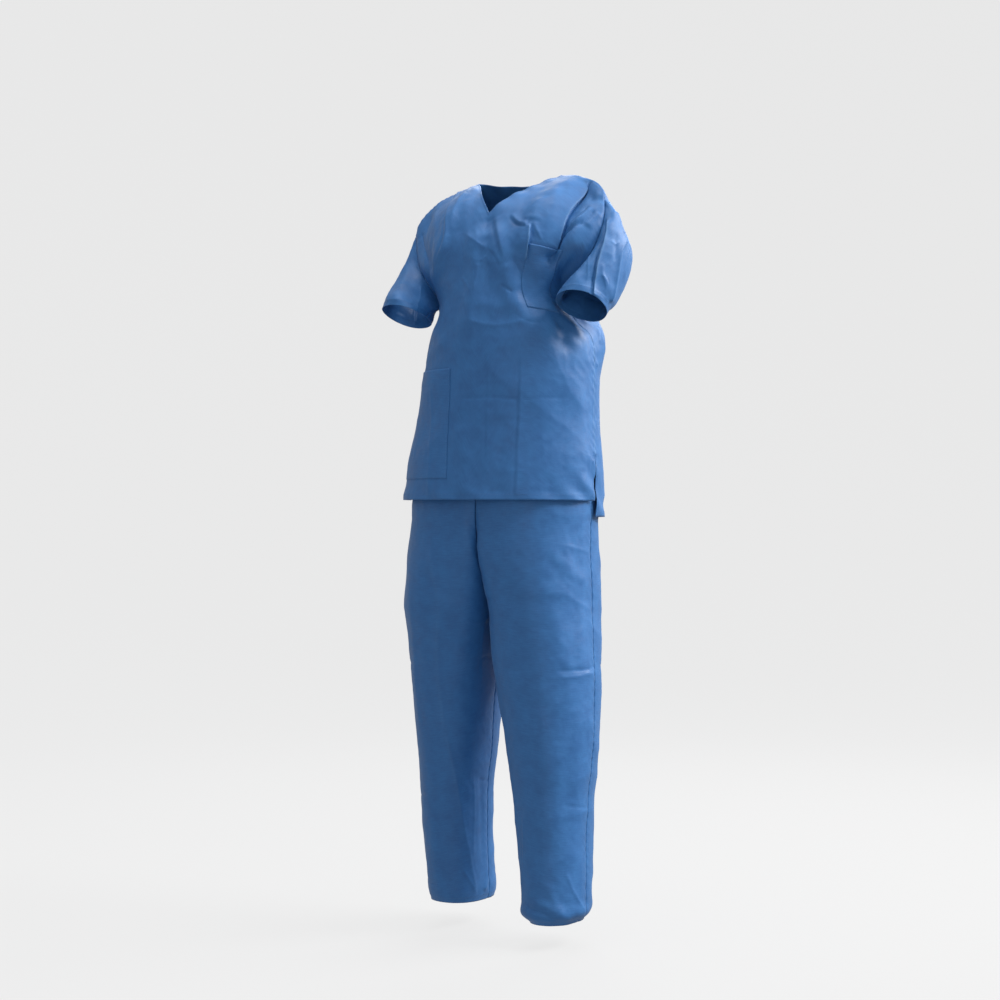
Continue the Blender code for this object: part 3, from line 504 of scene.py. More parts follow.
creases["leg_back_right"] = rowsOf(
    creaseColumns,
    # pressed crease, seat, knee, foot
    (0.49, 0.12, 0.51, 0.45, 0.48, 0.895, 0.022, 0.0037, "crisp", 0.15, 0.06),
    (0.93, 0.305, 0.68, 0.27, 0.42, 0.225, 0.014, 0.0039, "soft", 0.1, 0.35),
    (0.94, 0.34, 0.72, 0.36, 0.46, 0.35, 0.01, 0.0024, "crisp", 0.08, 0.35),
    (0.12, 0.18, 0.34, 0.222, 0.58, 0.215, 0.014, 0.0025, "soft", 0.25, 0.25),
    (0.08, 0.432, 0.45, 0.436, 0.88, 0.43, 0.007, -0.0022, "crisp", 0.05, 0.2),
    (0.2, 0.47, 0.48, 0.488, 0.8, 0.474, 0.009, -0.0021, "crisp", 0.25, 0.25),
    (0.15, 0.52, 0.4, 0.534, 0.68, 0.516, 0.009, 0.0022, "crisp", 0.25, 0.25),
    (0.22, 0.59, 0.26, 0.72, 0.22, 0.86, 0.014, 0.0027, "soft", 0.2, 0.1),
    (0.76, 0.6, 0.78, 0.72, 0.74, 0.86, 0.013, -0.0027, "soft", 0.2, 0.1),
    (0.25, 0.872, 0.52, 0.88, 0.84, 0.868, 0.008, -0.0025, "crisp"),
)

seamLook = {"dip": 0.0013, "dipWidth": 0.0032, "pucker": 0.0004, "puckerWidth": 0.012}
# of these, the last sets the painted highlight along a ridged seam's crest
seamLook.update(puckerStep=0.019, puckerSway=0.031, ridge=0.0009, ridgeWidth=0.0024, pressed=0.9)
# creases end at this distance from a seam; panels this near share normals, blended over a width
seamLook.update(free=0.008, alike=0.006, blend=0.010)
# low on a leg its seams are drawn together, by this share of the gap
seamLook.update(shut=0.45, shutFrom=0.82, shutOver=0.05, belowArmhole=0.01)
hemLook = {"band": 0.013, "neckBand": 0.5, "raise": 0.0004, "edge": 0.0024}
hemLook.update(wave=0.0014, waveStep=0.083, waveSway=0.07, waveWidth=0.035)
# where a hem rests on a foot it turns in, and the cloth above it bulges
curl = {"left": 0.017, "right": 0.004, "width": 0.0105, "bulge": 0.10, "bulgeAt": 0.024}
crumples = rowsOf("depth step shift", (0.0015, 0.085, 3.1), (0.00035, 0.022, 7.7))

spotScale = {"top": (cloth["panelHalf"], 1.0), "leg": (cloth["legPanelWidth"], 1.0)}
spotScale["sleeve"] = (cloth["sleeveRound"], cloth["sleeveLength"])


def lengthsAlong(line):
    steps = np.linalg.norm(np.diff(line[:, :3], axis=0), axis=1)
    return np.concatenate([[0], np.cumsum(steps)])


def placesAt(at, lengths, line):
    # the line's values at these distances along it
    return np.stack([np.interp(at, lengths, line[:, k]) for k in range(line.shape[1])], axis=1)


def evenly(line, count):
    # the line again, as this many places at even distances along it
    lengths = lengthsAlong(line)
    return placesAt(np.linspace(0, lengths[-1], count), lengths, line)


def lineOn(name, stops, steps=25):
    # a smooth line through the stops: its points, its left side and its normals on the piece
    surface = surfaces[name]
    scale = np.array(spotScale[name.split("_")[0]])
    knots = np.arange(len(stops), dtype=float)
    line = curveWeights(knots, np.linspace(0, knots[-1], steps)) @ (np.array(stops) * scale)
    spots = (surface["spots"] * scale).reshape(-1, 2)
    at = [int(((spots - spot) ** 2).sum(axis=1).argmin()) for spot in line]
    both = np.concatenate([surface[key].reshape(-1, 3)[at] for key in ("points", "normals")], axis=1)
    for _ in range(2):
        # the places are grid points, so the line is smoothed and spaced evenly
        for _ in range(3):
            both[1:-1] = (both[:-2] + 2 * both[1:-1] + both[2:]) / 4
        both = evenly(both, steps)
    points, normals = both[:, :3], both[:, 3:]
    return points, unit(np.cross(normals, np.gradient(points, axis=0))), unit(normals)


# across a crease, in its widths; what is steep falls off faster than what is gentle
profile = {"crisp": 2.2, "crispCrest": 0.35, "crispCrestWidth": 0.2, "stepCrest": 0.45, "crestWidth": 0.15}
profile.update(steep=0.22, gentle=1.4, foot=0.4, footAt=0.42, lap=1.1, lapSteep=0.2, lapGentle=0.6)
# along it: how far it is sought, how it swells, and the depth at which its crest gets its full paler
# colour, whitening and painted highlight
profile.update(reach=3, uneven=0.12, turns=9.0, turnByWidth=40, turnByPlace=7, fullCrest=0.004)


def bell(offset, width):
    return np.exp(-((offset / width) ** 2))


def creaseProfile(shape, offset):
    # height, shift to the left and crest across a crease, the crest being its share of paler colour,
    # whitening and painted highlight; offset is in widths, positive on its left
    away, none = np.abs(offset), np.zeros(len(offset))
    if shape == "soft":
        return bell(offset, 1.0), none, none
    if shape == "crisp":
        crest = profile["crispCrest"] * bell(offset, profile["crispCrestWidth"])
        return np.exp(-profile["crisp"] * away), none, crest
    height = np.where(offset > 0, bell(offset, profile["steep"]), np.exp(-profile["gentle"] * away))
    height -= profile["foot"] * bell(offset - profile["footAt"], profile["steep"])
    crest = bell(offset, profile["crestWidth"])
    if shape == "step":
        return height, none, profile["stepCrest"] * crest
    shift = np.where(offset > 0, bell(offset, profile["lapSteep"]), bell(offset, profile["lapGentle"]))
    return height, profile["lap"] * shift, crest


def nearestOn(line, points):
    # the nearest place on a line to each point, the number of its step and how far along that it is
    start, step = line[:-1], np.diff(line, axis=0)
    squares = np.maximum((step * step).sum(axis=1), 1e-12)
    share = np.clip(((points[:, None] - start) * step).sum(axis=2) / squares, 0, 1)
    places = start + share[..., None] * step
    pick = np.linalg.norm(points[:, None] - places, axis=2).argmin(axis=1)
    every = np.arange(len(points))
    return places[every, pick], pick, share[every, pick]


def pushOfCrease(piece, crease, points, normals):
    # how far the piece's crease moves each point, and how much of its crest's paler colour, whitening and
    # painted highlight, each point has
    stops = [(crease[f"u{k}"], crease[f"v{k}"]) for k in (1, 2, 3)]
    line, sides, lineNormals = lineOn(piece, stops)
    reach = profile["reach"] * crease["width"]
    near = ((points > line.min(axis=0) - reach) & (points < line.max(axis=0) + reach)).all(axis=1)
    moved, crest = np.zeros_like(points), np.zeros(len(points))
    if not near.any():
        return moved, crest
    spots = points[near]
    places, pick, share = nearestOn(line, spots)
    away = spots - places
    along = (pick + share) / (len(line) - 1)
    side = unit((1 - share)[:, None] * sides[pick] + share[:, None] * sides[pick + 1])
    offset = np.linalg.norm(away, axis=1) / crease["width"] * np.sign((away * side).sum(axis=1))
    fade = smooth(along / crease["fadeIn"]) * smooth((1 - along) / crease["fadeOut"])
    turn = profile["turns"] * along
    turn = turn + profile["turnByWidth"] * crease["width"] + profile["turnByPlace"] * crease["u1"]
    uneven = 1 - profile["uneven"] + profile["uneven"] * np.sin(turn)
    height, shift, top = creaseProfile(crease["shape"], offset)
    # a crease stays on its side of the cloth
    fade = fade * ((normals[near] * lineNormals[pick]).sum(axis=1) > 0)
    scale = (crease["depth"] * fade * uneven)[:, None]
    moved[near] = scale * (height[:, None] * normals[near] + shift[:, None] * side)
    # the crest's paler colour: whitening and painted highlight, full once the crease is deep enough
    crest[near] = fade * top * smooth(crease["depth"] / profile["fullCrest"])
    return moved, crest


def edgeKinds(name):
    # for each edge of a panel: the share of seam, ridge seam, hem or neck at each place along it
    surface = surfaces[name]
    u, v = surface["u"], surface["v"]
    kinds = {
        "top": {"seam": np.ones(len(u))},
        "foot": {"hem": np.ones(len(u))},
        "first": {"seam": np.ones(len(v))},
        "last": {"seam": np.ones(len(v))},
    }
    if name.startswith("top"):
        neck = (np.abs(u) <= cloth["neckShare"] + 1e-6).astype(float)
        kinds["top"] = {"seam": 1 - neck, "neck": neck}
        ridge = ((v > cloth["armhole"] + seamLook["belowArmhole"]) & (v < cloth["slitTop"])).astype(float)
        hem = (v >= cloth["slitTop"]).astype(float)
        kinds["first"] = kinds["last"] = {"seam": 1 - hem - ridge, "ridge": ridge, "hem": hem}
    return kinds


def ripple(points, step, sway, way=(1.0, 0.7, 1.0), turn=2.4):
    # an uneven wave that goes by the place alone, so that it runs on across a seam
    along = points @ np.array(way)
    return np.sin(2 * np.pi * along / step + turn * np.sin(along / sway))


def pushOfEdges(name):
    # how far the edges move each point outwards, its distance from the seams, and the painted highlight
    # along ridged seams
    surface = surfaces[name]
    points = surface["points"]
    away = alongEdges(points)
    push, pressed = np.zeros(points.shape[:2]), np.zeros(points.shape[:2])
    seamGap = np.full(points.shape[:2], 1.0)
    for edge, kinds in edgeKinds(name).items():
        gap = away[edge]
        for kind, share in kinds.items():
            on = share[None, :] if edge in ("top", "foot") else share[:, None]
            if kind in ("seam", "ridge"):
                seamGap = np.where(on > 0, np.minimum(seamGap, gap), seamGap)
                wave = ripple(points, seamLook["puckerStep"], seamLook["puckerSway"])
                push += on * seamLook["pucker"] * wave * np.exp(-((gap / seamLook["puckerWidth"]) ** 2))
            if kind == "seam":
                push -= on * seamLook["dip"] * np.exp(-gap / seamLook["dipWidth"])
            elif kind == "ridge":
                raised = np.exp(-gap / seamLook["ridgeWidth"])
                push += on * seamLook["ridge"] * raised
                # a ridged seam's crest is marked for painted highlight
                pressed = np.maximum(pressed, seamLook["pressed"] * on * raised)
            else:
                band = hemLook["band"] if kind == "hem" else hemLook["neckBand"] * hemLook["band"]
                past = (gap - band + hemLook["edge"] / 2) / hemLook["edge"]
                push += on * hemLook["raise"] * (1 - smooth(past))
                wave = ripple(points, hemLook["waveStep"], hemLook["waveSway"])
                push += on * hemLook["wave"] * wave * np.exp(-((gap / hemLook["waveWidth"]) ** 2))
    return push, seamGap, pressed


def curlOfHem(name):
    side = name.split("_")[-1]
    ends = [surfaces[f"leg_{part}_{side}"]["points"][-1] for part in ("front", "back")]
    centre = np.concatenate(ends).mean(axis=0)
    points = surfaces[name]["points"]
    gap = alongEdges(points)["foot"]
    turnedIn = np.exp(-((gap / curl["width"]) ** 2))
    bulge = curl["bulge"] * np.exp(-(((gap - curl["bulgeAt"]) / curl["width"]) ** 2))
    return curl[side] * (turnedIn - bulge)[..., None] * unit((centre - points) * (1, 1, 0))


def pushOfCrumple(points, fold=2.4):
    push = np.zeros(len(points))
    for crumple in crumples:
        scale, shift = 1 / crumple["step"], Vector((crumple["shift"], 0, 0))
        values = [noise.noise(Vector(p) * scale + shift) for p in points]
        # folded at zero, so that flat places meet in soft lines
        push += crumple["depth"] * (1 - fold * np.abs(np.array(values)))
    return push


edgeOf = {"top": np.s_[0], "foot": np.s_[-1], "first": np.s_[:, 0], "last": np.s_[:, -1]}


def agreeAtSeams():
    # sewn panels share their normals along the seam, so that both move alike there
    sewn = []
    for name, surface in surfaces.items():
        for edge, kinds in edgeKinds(name).items():
            on = kinds.get("seam", 0) + kinds.get("ridge", 0)
            if np.any(on):
                sewn.append((surface, edge, on))
    points = np.concatenate([surface["points"][edgeOf[edge]] for surface, edge, on in sewn])
    normals = np.concatenate([surface["normals"][edgeOf[edge]] for surface, edge, on in sewn])
    counts = np.concatenate([on for surface, edge, on in sewn]) > 0
    changes = []
    for surface, edge, on in sewn:
        line = surface["points"][edgeOf[edge]]
        near = (np.linalg.norm(line[:, None] - points, axis=2) < seamLook["alike"]) & counts
        shared = unit(near.astype(float) @ normals)
        change = (shared - surface["normals"][edgeOf[edge]]) * (on > 0)[:, None]
        share = np.exp(-alongEdges(surface["points"])[edge] / seamLook["blend"])
        change = change[None] if edge in ("top", "foot") else change[:, None]
        changes.append((surface, share[..., None] * change))
    for surface, change in changes:
        surface["normals"] = unit(surface["normals"] + change)


def pulledIn(points, gap=0.00015):
    # edges stand a hair back, so that sewn panels meet without touching
    moved = points.copy()
    for edge, inner in ((np.s_[0], np.s_[1]), (np.s_[-1], np.s_[-2])):
        moved[edge] += gap * unit(points[inner] - points[edge])
        moved[:, edge] += gap * unit(points[:, inner] - points[:, edge])
    return moved


def shutSeams(side):
    # low on the legs, where the floor's light would show through, the seams are drawn together
    both = [surfaces[f"leg_{part}_{side}"] for part in ("front", "back")]
    for edge in ("first", "last"):
        lines = [surface["folded"][edgeOf[edge]].copy() for surface in both]
        for surface, line, other in zip(both, lines, lines[::-1]):
            down = surface["v"] / surface["v"][-1]
            share = seamLook["shut"] * smooth((down - seamLook["shutFrom"]) / seamLook["shutOver"])
            surface["folded"][edgeOf[edge]] += share[:, None] * (nearestOn(other, line)[0] - line)


for name, surface in surfaces.items():
    surface["normals"] = gridNormals(surface["points"], surface["turned"])
agreeAtSeams()

for name, surface in surfaces.items():
    shape = surface["points"].shape[:2]
    flat, flatNormals = surface["points"].reshape(-1, 3), surface["normals"].reshape(-1, 3)
    edges, seamGap, pressed = pushOfEdges(name)
    # sharp gathers where the cloth is painted paler: highlight on seam ridges, whitening and highlight on
    # crease crests
    sharp = pressed.ravel()
    free = smooth(seamGap / seamLook["free"]).reshape(-1, 1)
    moved = (edges.ravel() + pushOfCrumple(flat))[:, None] * flatNormals
    for piece, row in [(piece, row) for piece, rows in creases.items() for row in rows]:
        crease = usualFade | row
        if name in (piece, crease["also"]):
            push, crest = pushOfCrease(piece, crease, flat, flatNormals)
            moved += push if crease["also"] else free * push
            sharp = np.maximum(sharp, crest)
    surface["folded"] = surface["points"] + moved.reshape(*shape, 3)
    if name.startswith("leg"):
        surface["folded"] = surface["folded"] + curlOfHem(name)
    surface["folded"] = pulledIn(surface["folded"])
    surface["facing"] = gridNormals(surface["folded"], surface["turned"])
    surface["sharp"] = sharp.reshape(shape)
for side in ("left", "right"):
    shutSeams(side)
print("creases pushed:", {piece: len(rows) for piece, rows in creases.items()})


def shaderNode(tree, kind, links=(), **settings):
    made = tree.nodes.new(kind)
    for key, value in settings.items():
        setattr(made, key, value)
    for socket, source in links:
        if isinstance(source, bpy.types.NodeSocket):
            tree.links.new(source, made.inputs[socket])
        else:
            made.inputs[socket].default_value = source
    return made


# noises are given as scale, detail and roughness, and bumps as strength and distance
clothLook = {
    "blue": (0.024, 0.122, 0.337, 1.0),
    "paleBlue": (0.034, 0.164, 0.420, 1.0),
    "whiteningAndHighlight": (0.150, 0.310, 0.560, 1.0),  # paler blue on crease crests and seam ridges: partly whitening where pressed, partly painted highlight
    "whiteningAndHighlightShare": 0.5,
    "roughness": (0.46, 0.62),
    "roughFrom": (0.3, 0.7),
    "sheen": 0.06,
    "sheenRoughness": 0.4,
    "specular": 0.42,
    "clouds": (34.0, 5.0, 0.62),
    "streaks": (45.0, 620.0, 1.0),
    "streakShare": 0.9,
    "streakBump": (0.25, 0.0003),
    "dents": (70.0, 3.0, 0.5),
    "dentBump": (0.22, 0.0012),
    "tone": (0.70, 1.20),
    "bondStep": 0.0016,  # between the points where the fibres are bonded
    "bondTop": (0.45, 0.2),
    "bond": (0.030, 0.100, 0.260, 1.0),
    "bondShare": 0.10,
    "bondBump": (0.22, 0.0001),
}
threadLook = {"blue": (0.05, 0.14, 0.32, 1), "paleBlue": (0.11, 0.25, 0.48, 1), "roughness": 0.55}
threadLook.update(spun=(2500.0, 2.0), bump=(0.5, 0.0001))


def mathNode(tree, operation, *values):
    return shaderNode(tree, "ShaderNodeMath", list(enumerate(values)), operation=operation).outputs[0]


def mixColours(tree, factor, first, second):
    # a Mix node has sockets of each kind, and its colours are the seventh and eighth
    mix = shaderNode(tree, "ShaderNodeMix", data_type="RGBA")
    for index, source in ((0, factor), (6, first), (7, second)):
        if isinstance(source, bpy.types.NodeSocket):
            tree.links.new(source, mix.inputs[index])
        else:
            mix.inputs[index].default_value = source
    return mix.outputs[2]


def noiseNode(tree, vector, scale, detail=3.0, roughness=0.6):
    links = [("Vector", vector), ("Scale", scale), ("Detail", detail), ("Roughness", roughness)]
    return shaderNode(tree, "ShaderNodeTexNoise", links).outputs["Fac"]


def bumpNode(tree, height, strength, distance, normal=None):
    links = [("Height", height), ("Strength", strength), ("Distance", distance)]
    if normal is not None:
        links.append(("Normal", normal))
    return shaderNode(tree, "ShaderNodeBump", links).outputs["Normal"]


def mapRange(tree, value, source, target=(0.0, 1.0)):
    links = [("Value", value), ("From Min", source[0]), ("From Max", source[1])]
    links += [("To Min", target[0]), ("To Max", target[1])]
    return shaderNode(tree, "ShaderNodeMapRange", links).outputs["Result"]


def newMaterial(name):
    material = bpy.data.materials.new(name)
    material.use_nodes = True
    return material, material.node_tree, material.node_tree.nodes["Principled BSDF"]


def makeCloth(name):
    # spun-bonded cloth: pressed all over with small bonding points, a little cloudy and streaky, and paler
    # on crests and seam ridges, partly whitening and partly painted highlight
    material, tree, shader = newMaterial(name)
    shader.inputs["Sheen Weight"].default_value = clothLook["sheen"]
    shader.inputs["Sheen Roughness"].default_value = clothLook["sheenRoughness"]
    shader.inputs["Specular IOR Level"].default_value = clothLook["specular"]
    flat = shaderNode(tree, "ShaderNodeUVMap", uv_map="cloth").outputs["UV"]
    here = shaderNode(tree, "ShaderNodeTexCoord").outputs["Object"]
    # sharp marks where crests and seam ridges get paler colour: whitening and painted highlight
    sharp = shaderNode(tree, "ShaderNodeAttribute", attribute_name="sharp").outputs["Fac"]

    clouds = noiseNode(tree, here, *clothLook["clouds"])
    along = shaderNode(tree, "ShaderNodeMapping", [("Vector", flat), ("Scale", clothLook["streaks"])])
    streaks = noiseNode(tree, along.outputs["Vector"], 1.0, 3.0)
    tone = mathNode(tree, "ADD", clouds, mathNode(tree, "MULTIPLY", streaks, clothLook["streakShare"]))
    tone = mapRange(tree, tone, clothLook["tone"])
    colour = mixColours(tree, tone, clothLook["blue"], clothLook["paleBlue"])
    # crease crests and seam ridges turn paler: partly the cloth whitened where pressed, partly a painted
    # highlight
    whiteningAndHighlight = mathNode(tree, "MULTIPLY", mathNode(tree, "POWER", sharp, 2.0), clothLook["whiteningAndHighlightShare"])
    colour = mixColours(tree, whiteningAndHighlight, colour, clothLook["whiteningAndHighlight"])

    # bonding points stand in a diamond grid
    grid = shaderNode(tree, "ShaderNodeSeparateXYZ", [("Vector", flat)]).outputs
    turn = 2 * math.pi / clothLook["bondStep"]
    waves = [mathNode(tree, "SINE", mathNode(tree, "MULTIPLY", grid[axis], turn)) for axis in (0, 1)]
    bonds = mathNode(tree, "SMOOTH_MIN", mathNode(tree, "MULTIPLY", *waves), *clothLook["bondTop"])
    bonded = mathNode(tree, "MULTIPLY", mathNode(tree, "MAXIMUM", bonds, 0.0), clothLook["bondShare"])
    colour = mixColours(tree, bonded, colour, clothLook["bond"])
    tree.links.new(colour, shader.inputs["Base Color"])

    rough = mapRange(tree, clouds, clothLook["roughFrom"], clothLook["roughness"])
    tree.links.new(rough, shader.inputs["Roughness"])

    normal = bumpNode(tree, mathNode(tree, "MULTIPLY", bonds, -1.0), *clothLook["bondBump"])
    normal = bumpNode(tree, streaks, *clothLook["streakBump"], normal)
    normal = bumpNode(tree, noiseNode(tree, here, *clothLook["dents"]), *clothLook["dentBump"], normal)
    tree.links.new(normal, shader.inputs["Normal"])
    return material


def makeThread(name):
    # spun thread, a little uneven in tone
    material, tree, shader = newMaterial(name)
    here = shaderNode(tree, "ShaderNodeTexCoord").outputs["Object"]
    spun = noiseNode(tree, here, *threadLook["spun"])
    colour = mixColours(tree, spun, threadLook["blue"], threadLook["paleBlue"])
    tree.links.new(colour, shader.inputs["Base Color"])
    shader.inputs["Roughness"].default_value = threadLook["roughness"]
    tree.links.new(bumpNode(tree, spun, *threadLook["bump"]), shader.inputs["Normal"])
    return material


clothMaterial = makeCloth("blueCloth")
threadMaterial = makeThread("blueThread")
print("materials made")


# pieces: each a sheet on the folded grid, with the cloth's thickness inwards
pieces = {}


def sheetObject(name, points, sharp, turned):
    flat = flatSpots(points)
    bm = bmesh.new()
    rows, columns = points.shape[:2]
    bmesh.ops.create_grid(bm, x_segments=columns - 1, y_segments=rows - 1, size=1.0)
    if not turned:
        bmesh.ops.reverse_faces(bm, faces=bm.faces[:])
    mesh = bpy.data.meshes.new(name)
    bm.to_mesh(mesh)
    bm.free()
    mesh.vertices.foreach_set("co", points.astype(np.float32).ravel())
    corners = np.zeros(len(mesh.loops), np.int32)
    mesh.loops.foreach_get("vertex_index", corners)
    layer = mesh.uv_layers.new(name="cloth")
    layer.data.foreach_set("uv", flat.reshape(-1, 2)[corners].astype(np.float32).ravel())
    # the sharp attribute carries the painted highlight and whitening to the cloth's shader
    attribute = mesh.attributes.new("sharp", "FLOAT", "POINT")
    attribute.data.foreach_set("value", sharp.astype(np.float32).ravel())
    mesh.shade_smooth()
    mesh.materials.append(clothMaterial)
    mesh.update()
    made = bpy.data.objects.new(name, mesh)
    bpy.context.scene.collection.objects.link(made)
    wall = made.modifiers.new("thickness", "SOLIDIFY")
    wall.thickness = cloth["thickness"]
    wall.offset = -1.0
    wall.use_even_offset = True
    return made


for name, surface in surfaces.items():
    pieces[name] = sheetObject(name + "_cloth", surface["folded"], surface["sharp"], surface["turned"])
print("panels made:", len(pieces))

pockets = rowsOf(
    "name top foot firstAtTop firstAtFoot lastAtTop lastAtFoot fullness",
    ("chest_pocket", 0.182, 0.310, 0.44, 0.44, 0.76, 0.76, 0.0022),
    ("hip_pocket", 0.430, 0.650, -0.76, -0.76, -0.256, -0.168, 0.0022),
)
# lift is of its outside over the panel's, at its sewn edges; band is the share of its turned top
pocketLook = {"lift": 0.0008, "columnSize": 0.0022, "band": 0.14, "bandEdge": 0.01, "bandLift": 0.0003}
pocketLook.update(fullAcross=0.7, fullDown=0.8, nearly=0.001)


def makePocket(pocket):
    front = surfaces["top_front"]
    top, foot = pocket["top"] - pocketLook["nearly"], pocket["foot"] + pocketLook["nearly"]
    rows = np.nonzero((front["v"] > top) & (front["v"] < foot))[0]
    down = np.linspace(0, 1, len(rows))[:, None]
    first = pocket["firstAtTop"] + (pocket["firstAtFoot"] - pocket["firstAtTop"]) * down
    last = pocket["lastAtTop"] + (pocket["lastAtFoot"] - pocket["lastAtTop"]) * down
    count = int(abs(last - first).max() * cloth["panelHalf"] / pocketLook["columnSize"])
    across = np.linspace(0, 1, count)[None, :]
    at = np.interp(first + (last - first) * across, front["u"], np.arange(len(front["u"])))
    low = np.clip(at.astype(int), 0, len(front["u"]) - 2)
    share = (at - low)[..., None]
    made = {}
    for key in ("folded", "facing", "sharp"):
        values = front[key].reshape(*front["folded"].shape[:2], -1)
        made[key] = values[rows[:, None], low] * (1 - share) + values[rows[:, None], low + 1] * share
    full = np.sin(np.pi * across) ** pocketLook["fullAcross"]
    full = full * np.cos(0.5 * np.pi * down) ** pocketLook["fullDown"]
    band = 1 - smooth((down - pocketLook["band"]) / pocketLook["bandEdge"])
    lift = pocketLook["lift"] + pocket["fullness"] * full + pocketLook["bandLift"] * band
    made["folded"] = made["folded"] + lift[..., None] * made["facing"]
    name = pocket["name"]
    surfaces[name] = made
    pieces[name] = sheetObject(name + "_cloth", made["folded"], made["sharp"], front["turned"])


for pocket in pockets:
    makePocket(pocket)
print("pockets made")

waistbandLook = {"rise": 0.037, "drawIn": 0.06, "gathers": 64, "gatherDepth": 0.0014, "rows": 12}
waistbandLook.update(columns=481, sway=1.5, swayTurns=40, atEdges=0.35)


def makeWaistband():
    # an elastic casing, gathered all round, that stands on the trousers' top edge
    tops = [surfaces["leg_front_right"]["points"][0], surfaces["leg_front_left"]["points"][0][-2::-1]]
    tops += [surfaces["leg_back_left"]["points"][0][1:], surfaces["leg_back_right"]["points"][0][-2::-1]]
    ring = np.concatenate(tops)
    lengths = lengthsAlong(ring)
    turn = np.linspace(0, 1, waistbandLook["columns"])
    ring = placesAt(turn * lengths[-1], lengths, ring)
    centre = ring.mean(axis=0)
    rise = np.linspace(1, 0, waistbandLook["rows"] + 1)[:, None]
    sway = waistbandLook["sway"] * np.sin(waistbandLook["swayTurns"] * turn)
    gather = 0.5 + 0.5 * np.sin(2 * np.pi * waistbandLook["gathers"] * turn + sway)
    depth = waistbandLook["atEdges"] + (1 - waistbandLook["atEdges"]) * np.sin(np.pi * rise) ** 0.5
    inward = waistbandLook["gatherDepth"] * gather * depth
    share = 1 - waistbandLook["drawIn"] * rise
    out = unit((ring - centre) * (1, 1, 0))
    points = centre + (ring - centre) * share[..., None] - inward[..., None] * out
    points[..., 2] += waistbandLook["rise"] * rise
    turned = (gridNormals(points) * out).sum() < 0
    surfaces["waistband"] = {"folded": points, "facing": gridNormals(points, turned)}
    pieces["waistband"] = sheetObject("waistband_cloth", points, 0 * points[..., 0], turned)


makeWaistband()
print("waistband made")

stitchLook = {"step": 0.0032, "length": 0.0024, "across": 0.00042, "lift": 0.0001}
# how far each line of stitches is from its edge
stitchLook.update(hem=0.011, neck=0.005, slit=0.008, pocket=0.003, pocketTop=0.018)
stitchLook.update(waistband=(0.006, 0.031), aboveSlit=0.01)


def stitchTemplate():
    bm = bmesh.new()
    bmesh.ops.create_uvsphere(bm, u_segments=5, v_segments=3, radius=0.5)
    verts = np.array([v.co[:] for v in bm.verts])
    faces = [[v.index for v in f.verts] for f in bm.faces]
    bm.free()
    return verts, faces


def lineFromEdge(points, edge, away, keep):
    # where a line at this distance from an edge of a grid crosses the grid's other lines
    gaps = alongEdges(points)[edge]
    if edge in ("top", "foot"):
        points, gaps = points.swapaxes(0, 1), gaps.T
    made = []
    for line, gap, kept in zip(points, gaps, keep):
        if kept:
            order = np.argsort(gap)
            made.append([np.interp(away, gap[order], line[order, k]) for k in range(3)])
    return np.array(made)


def stitchObject(name, lines):
    verts, faces = stitchTemplate()
    allVerts, allFaces = [], []
    for line, facing in lines:
        lengths = lengthsAlong(line)
        at = np.arange(stitchLook["step"], lengths[-1] - stitchLook["step"], stitchLook["step"])
        centres = placesAt(at, lengths, line)
        way = unit(placesAt(at + 1e-3, lengths, line) - centres)
        up = unit(placesAt(at, lengths, facing))
        beside = unit(np.cross(up, way))
        scaled = verts * (stitchLook["length"], stitchLook["across"], stitchLook["across"])
        for centre, x, y, z in zip(centres, way, beside, up):
            first = len(allVerts) * len(verts)
            allVerts.append(centre + stitchLook["lift"] * z + scaled @ np.stack([x, y, z]))
            allFaces.extend([index + first for index in face] for face in faces)
    mesh = bpy.data.meshes.new(name)
    mesh.from_pydata(np.concatenate(allVerts).tolist(), [], allFaces)
    mesh.shade_smooth()
    mesh.materials.append(threadMaterial)
    made = bpy.data.objects.new(name, mesh)
    bpy.context.scene.collection.objects.link(made)
    return made


def hemLine(name, edge, away, keep=None):
    surface = surfaces[name]
    grid = surface["folded"]
    count = grid.shape[1] if edge in ("top", "foot") else grid.shape[0]
    keep = np.ones(count, bool) if keep is None else keep
    line = lineFromEdge(grid, edge, away, keep)
    facing = surface["facing"] if edge in ("top", "foot") else surface["facing"].swapaxes(0, 1)
    row = 0 if edge in ("top", "first") else -1
    return line, facing[row][keep]


def stitchLines(name):
    lines = []
    if name.endswith("pocket"):
        for edge in ("first", "last", "foot"):
            lines.append(hemLine(name, edge, stitchLook["pocket"]))
        lines.append(hemLine(name, "top", stitchLook["pocketTop"]))
        return lines
    if name == "waistband":
        return [hemLine(name, "top", away) for away in stitchLook["waistband"]]
    lines.append(hemLine(name, "foot", stitchLook["hem"]))
    if name.startswith("top"):
        surface = surfaces[name]
        neck = np.abs(surface["u"]) <= cloth["neckShare"] + 1e-6
        lines.append(hemLine(name, "top", stitchLook["neck"], neck))
        openSide = surface["v"] >= cloth["slitTop"] - stitchLook["aboveSlit"]
        for edge in ("first", "last"):
            lines.append(hemLine(name, edge, stitchLook["slit"], openSide))
    return lines


stitches = {name: stitchObject(name + "_stitches", stitchLines(name)) for name in pieces}
print("stitches made:", sum(len(s.data.polygons) for s in stitches.values()), "faces")

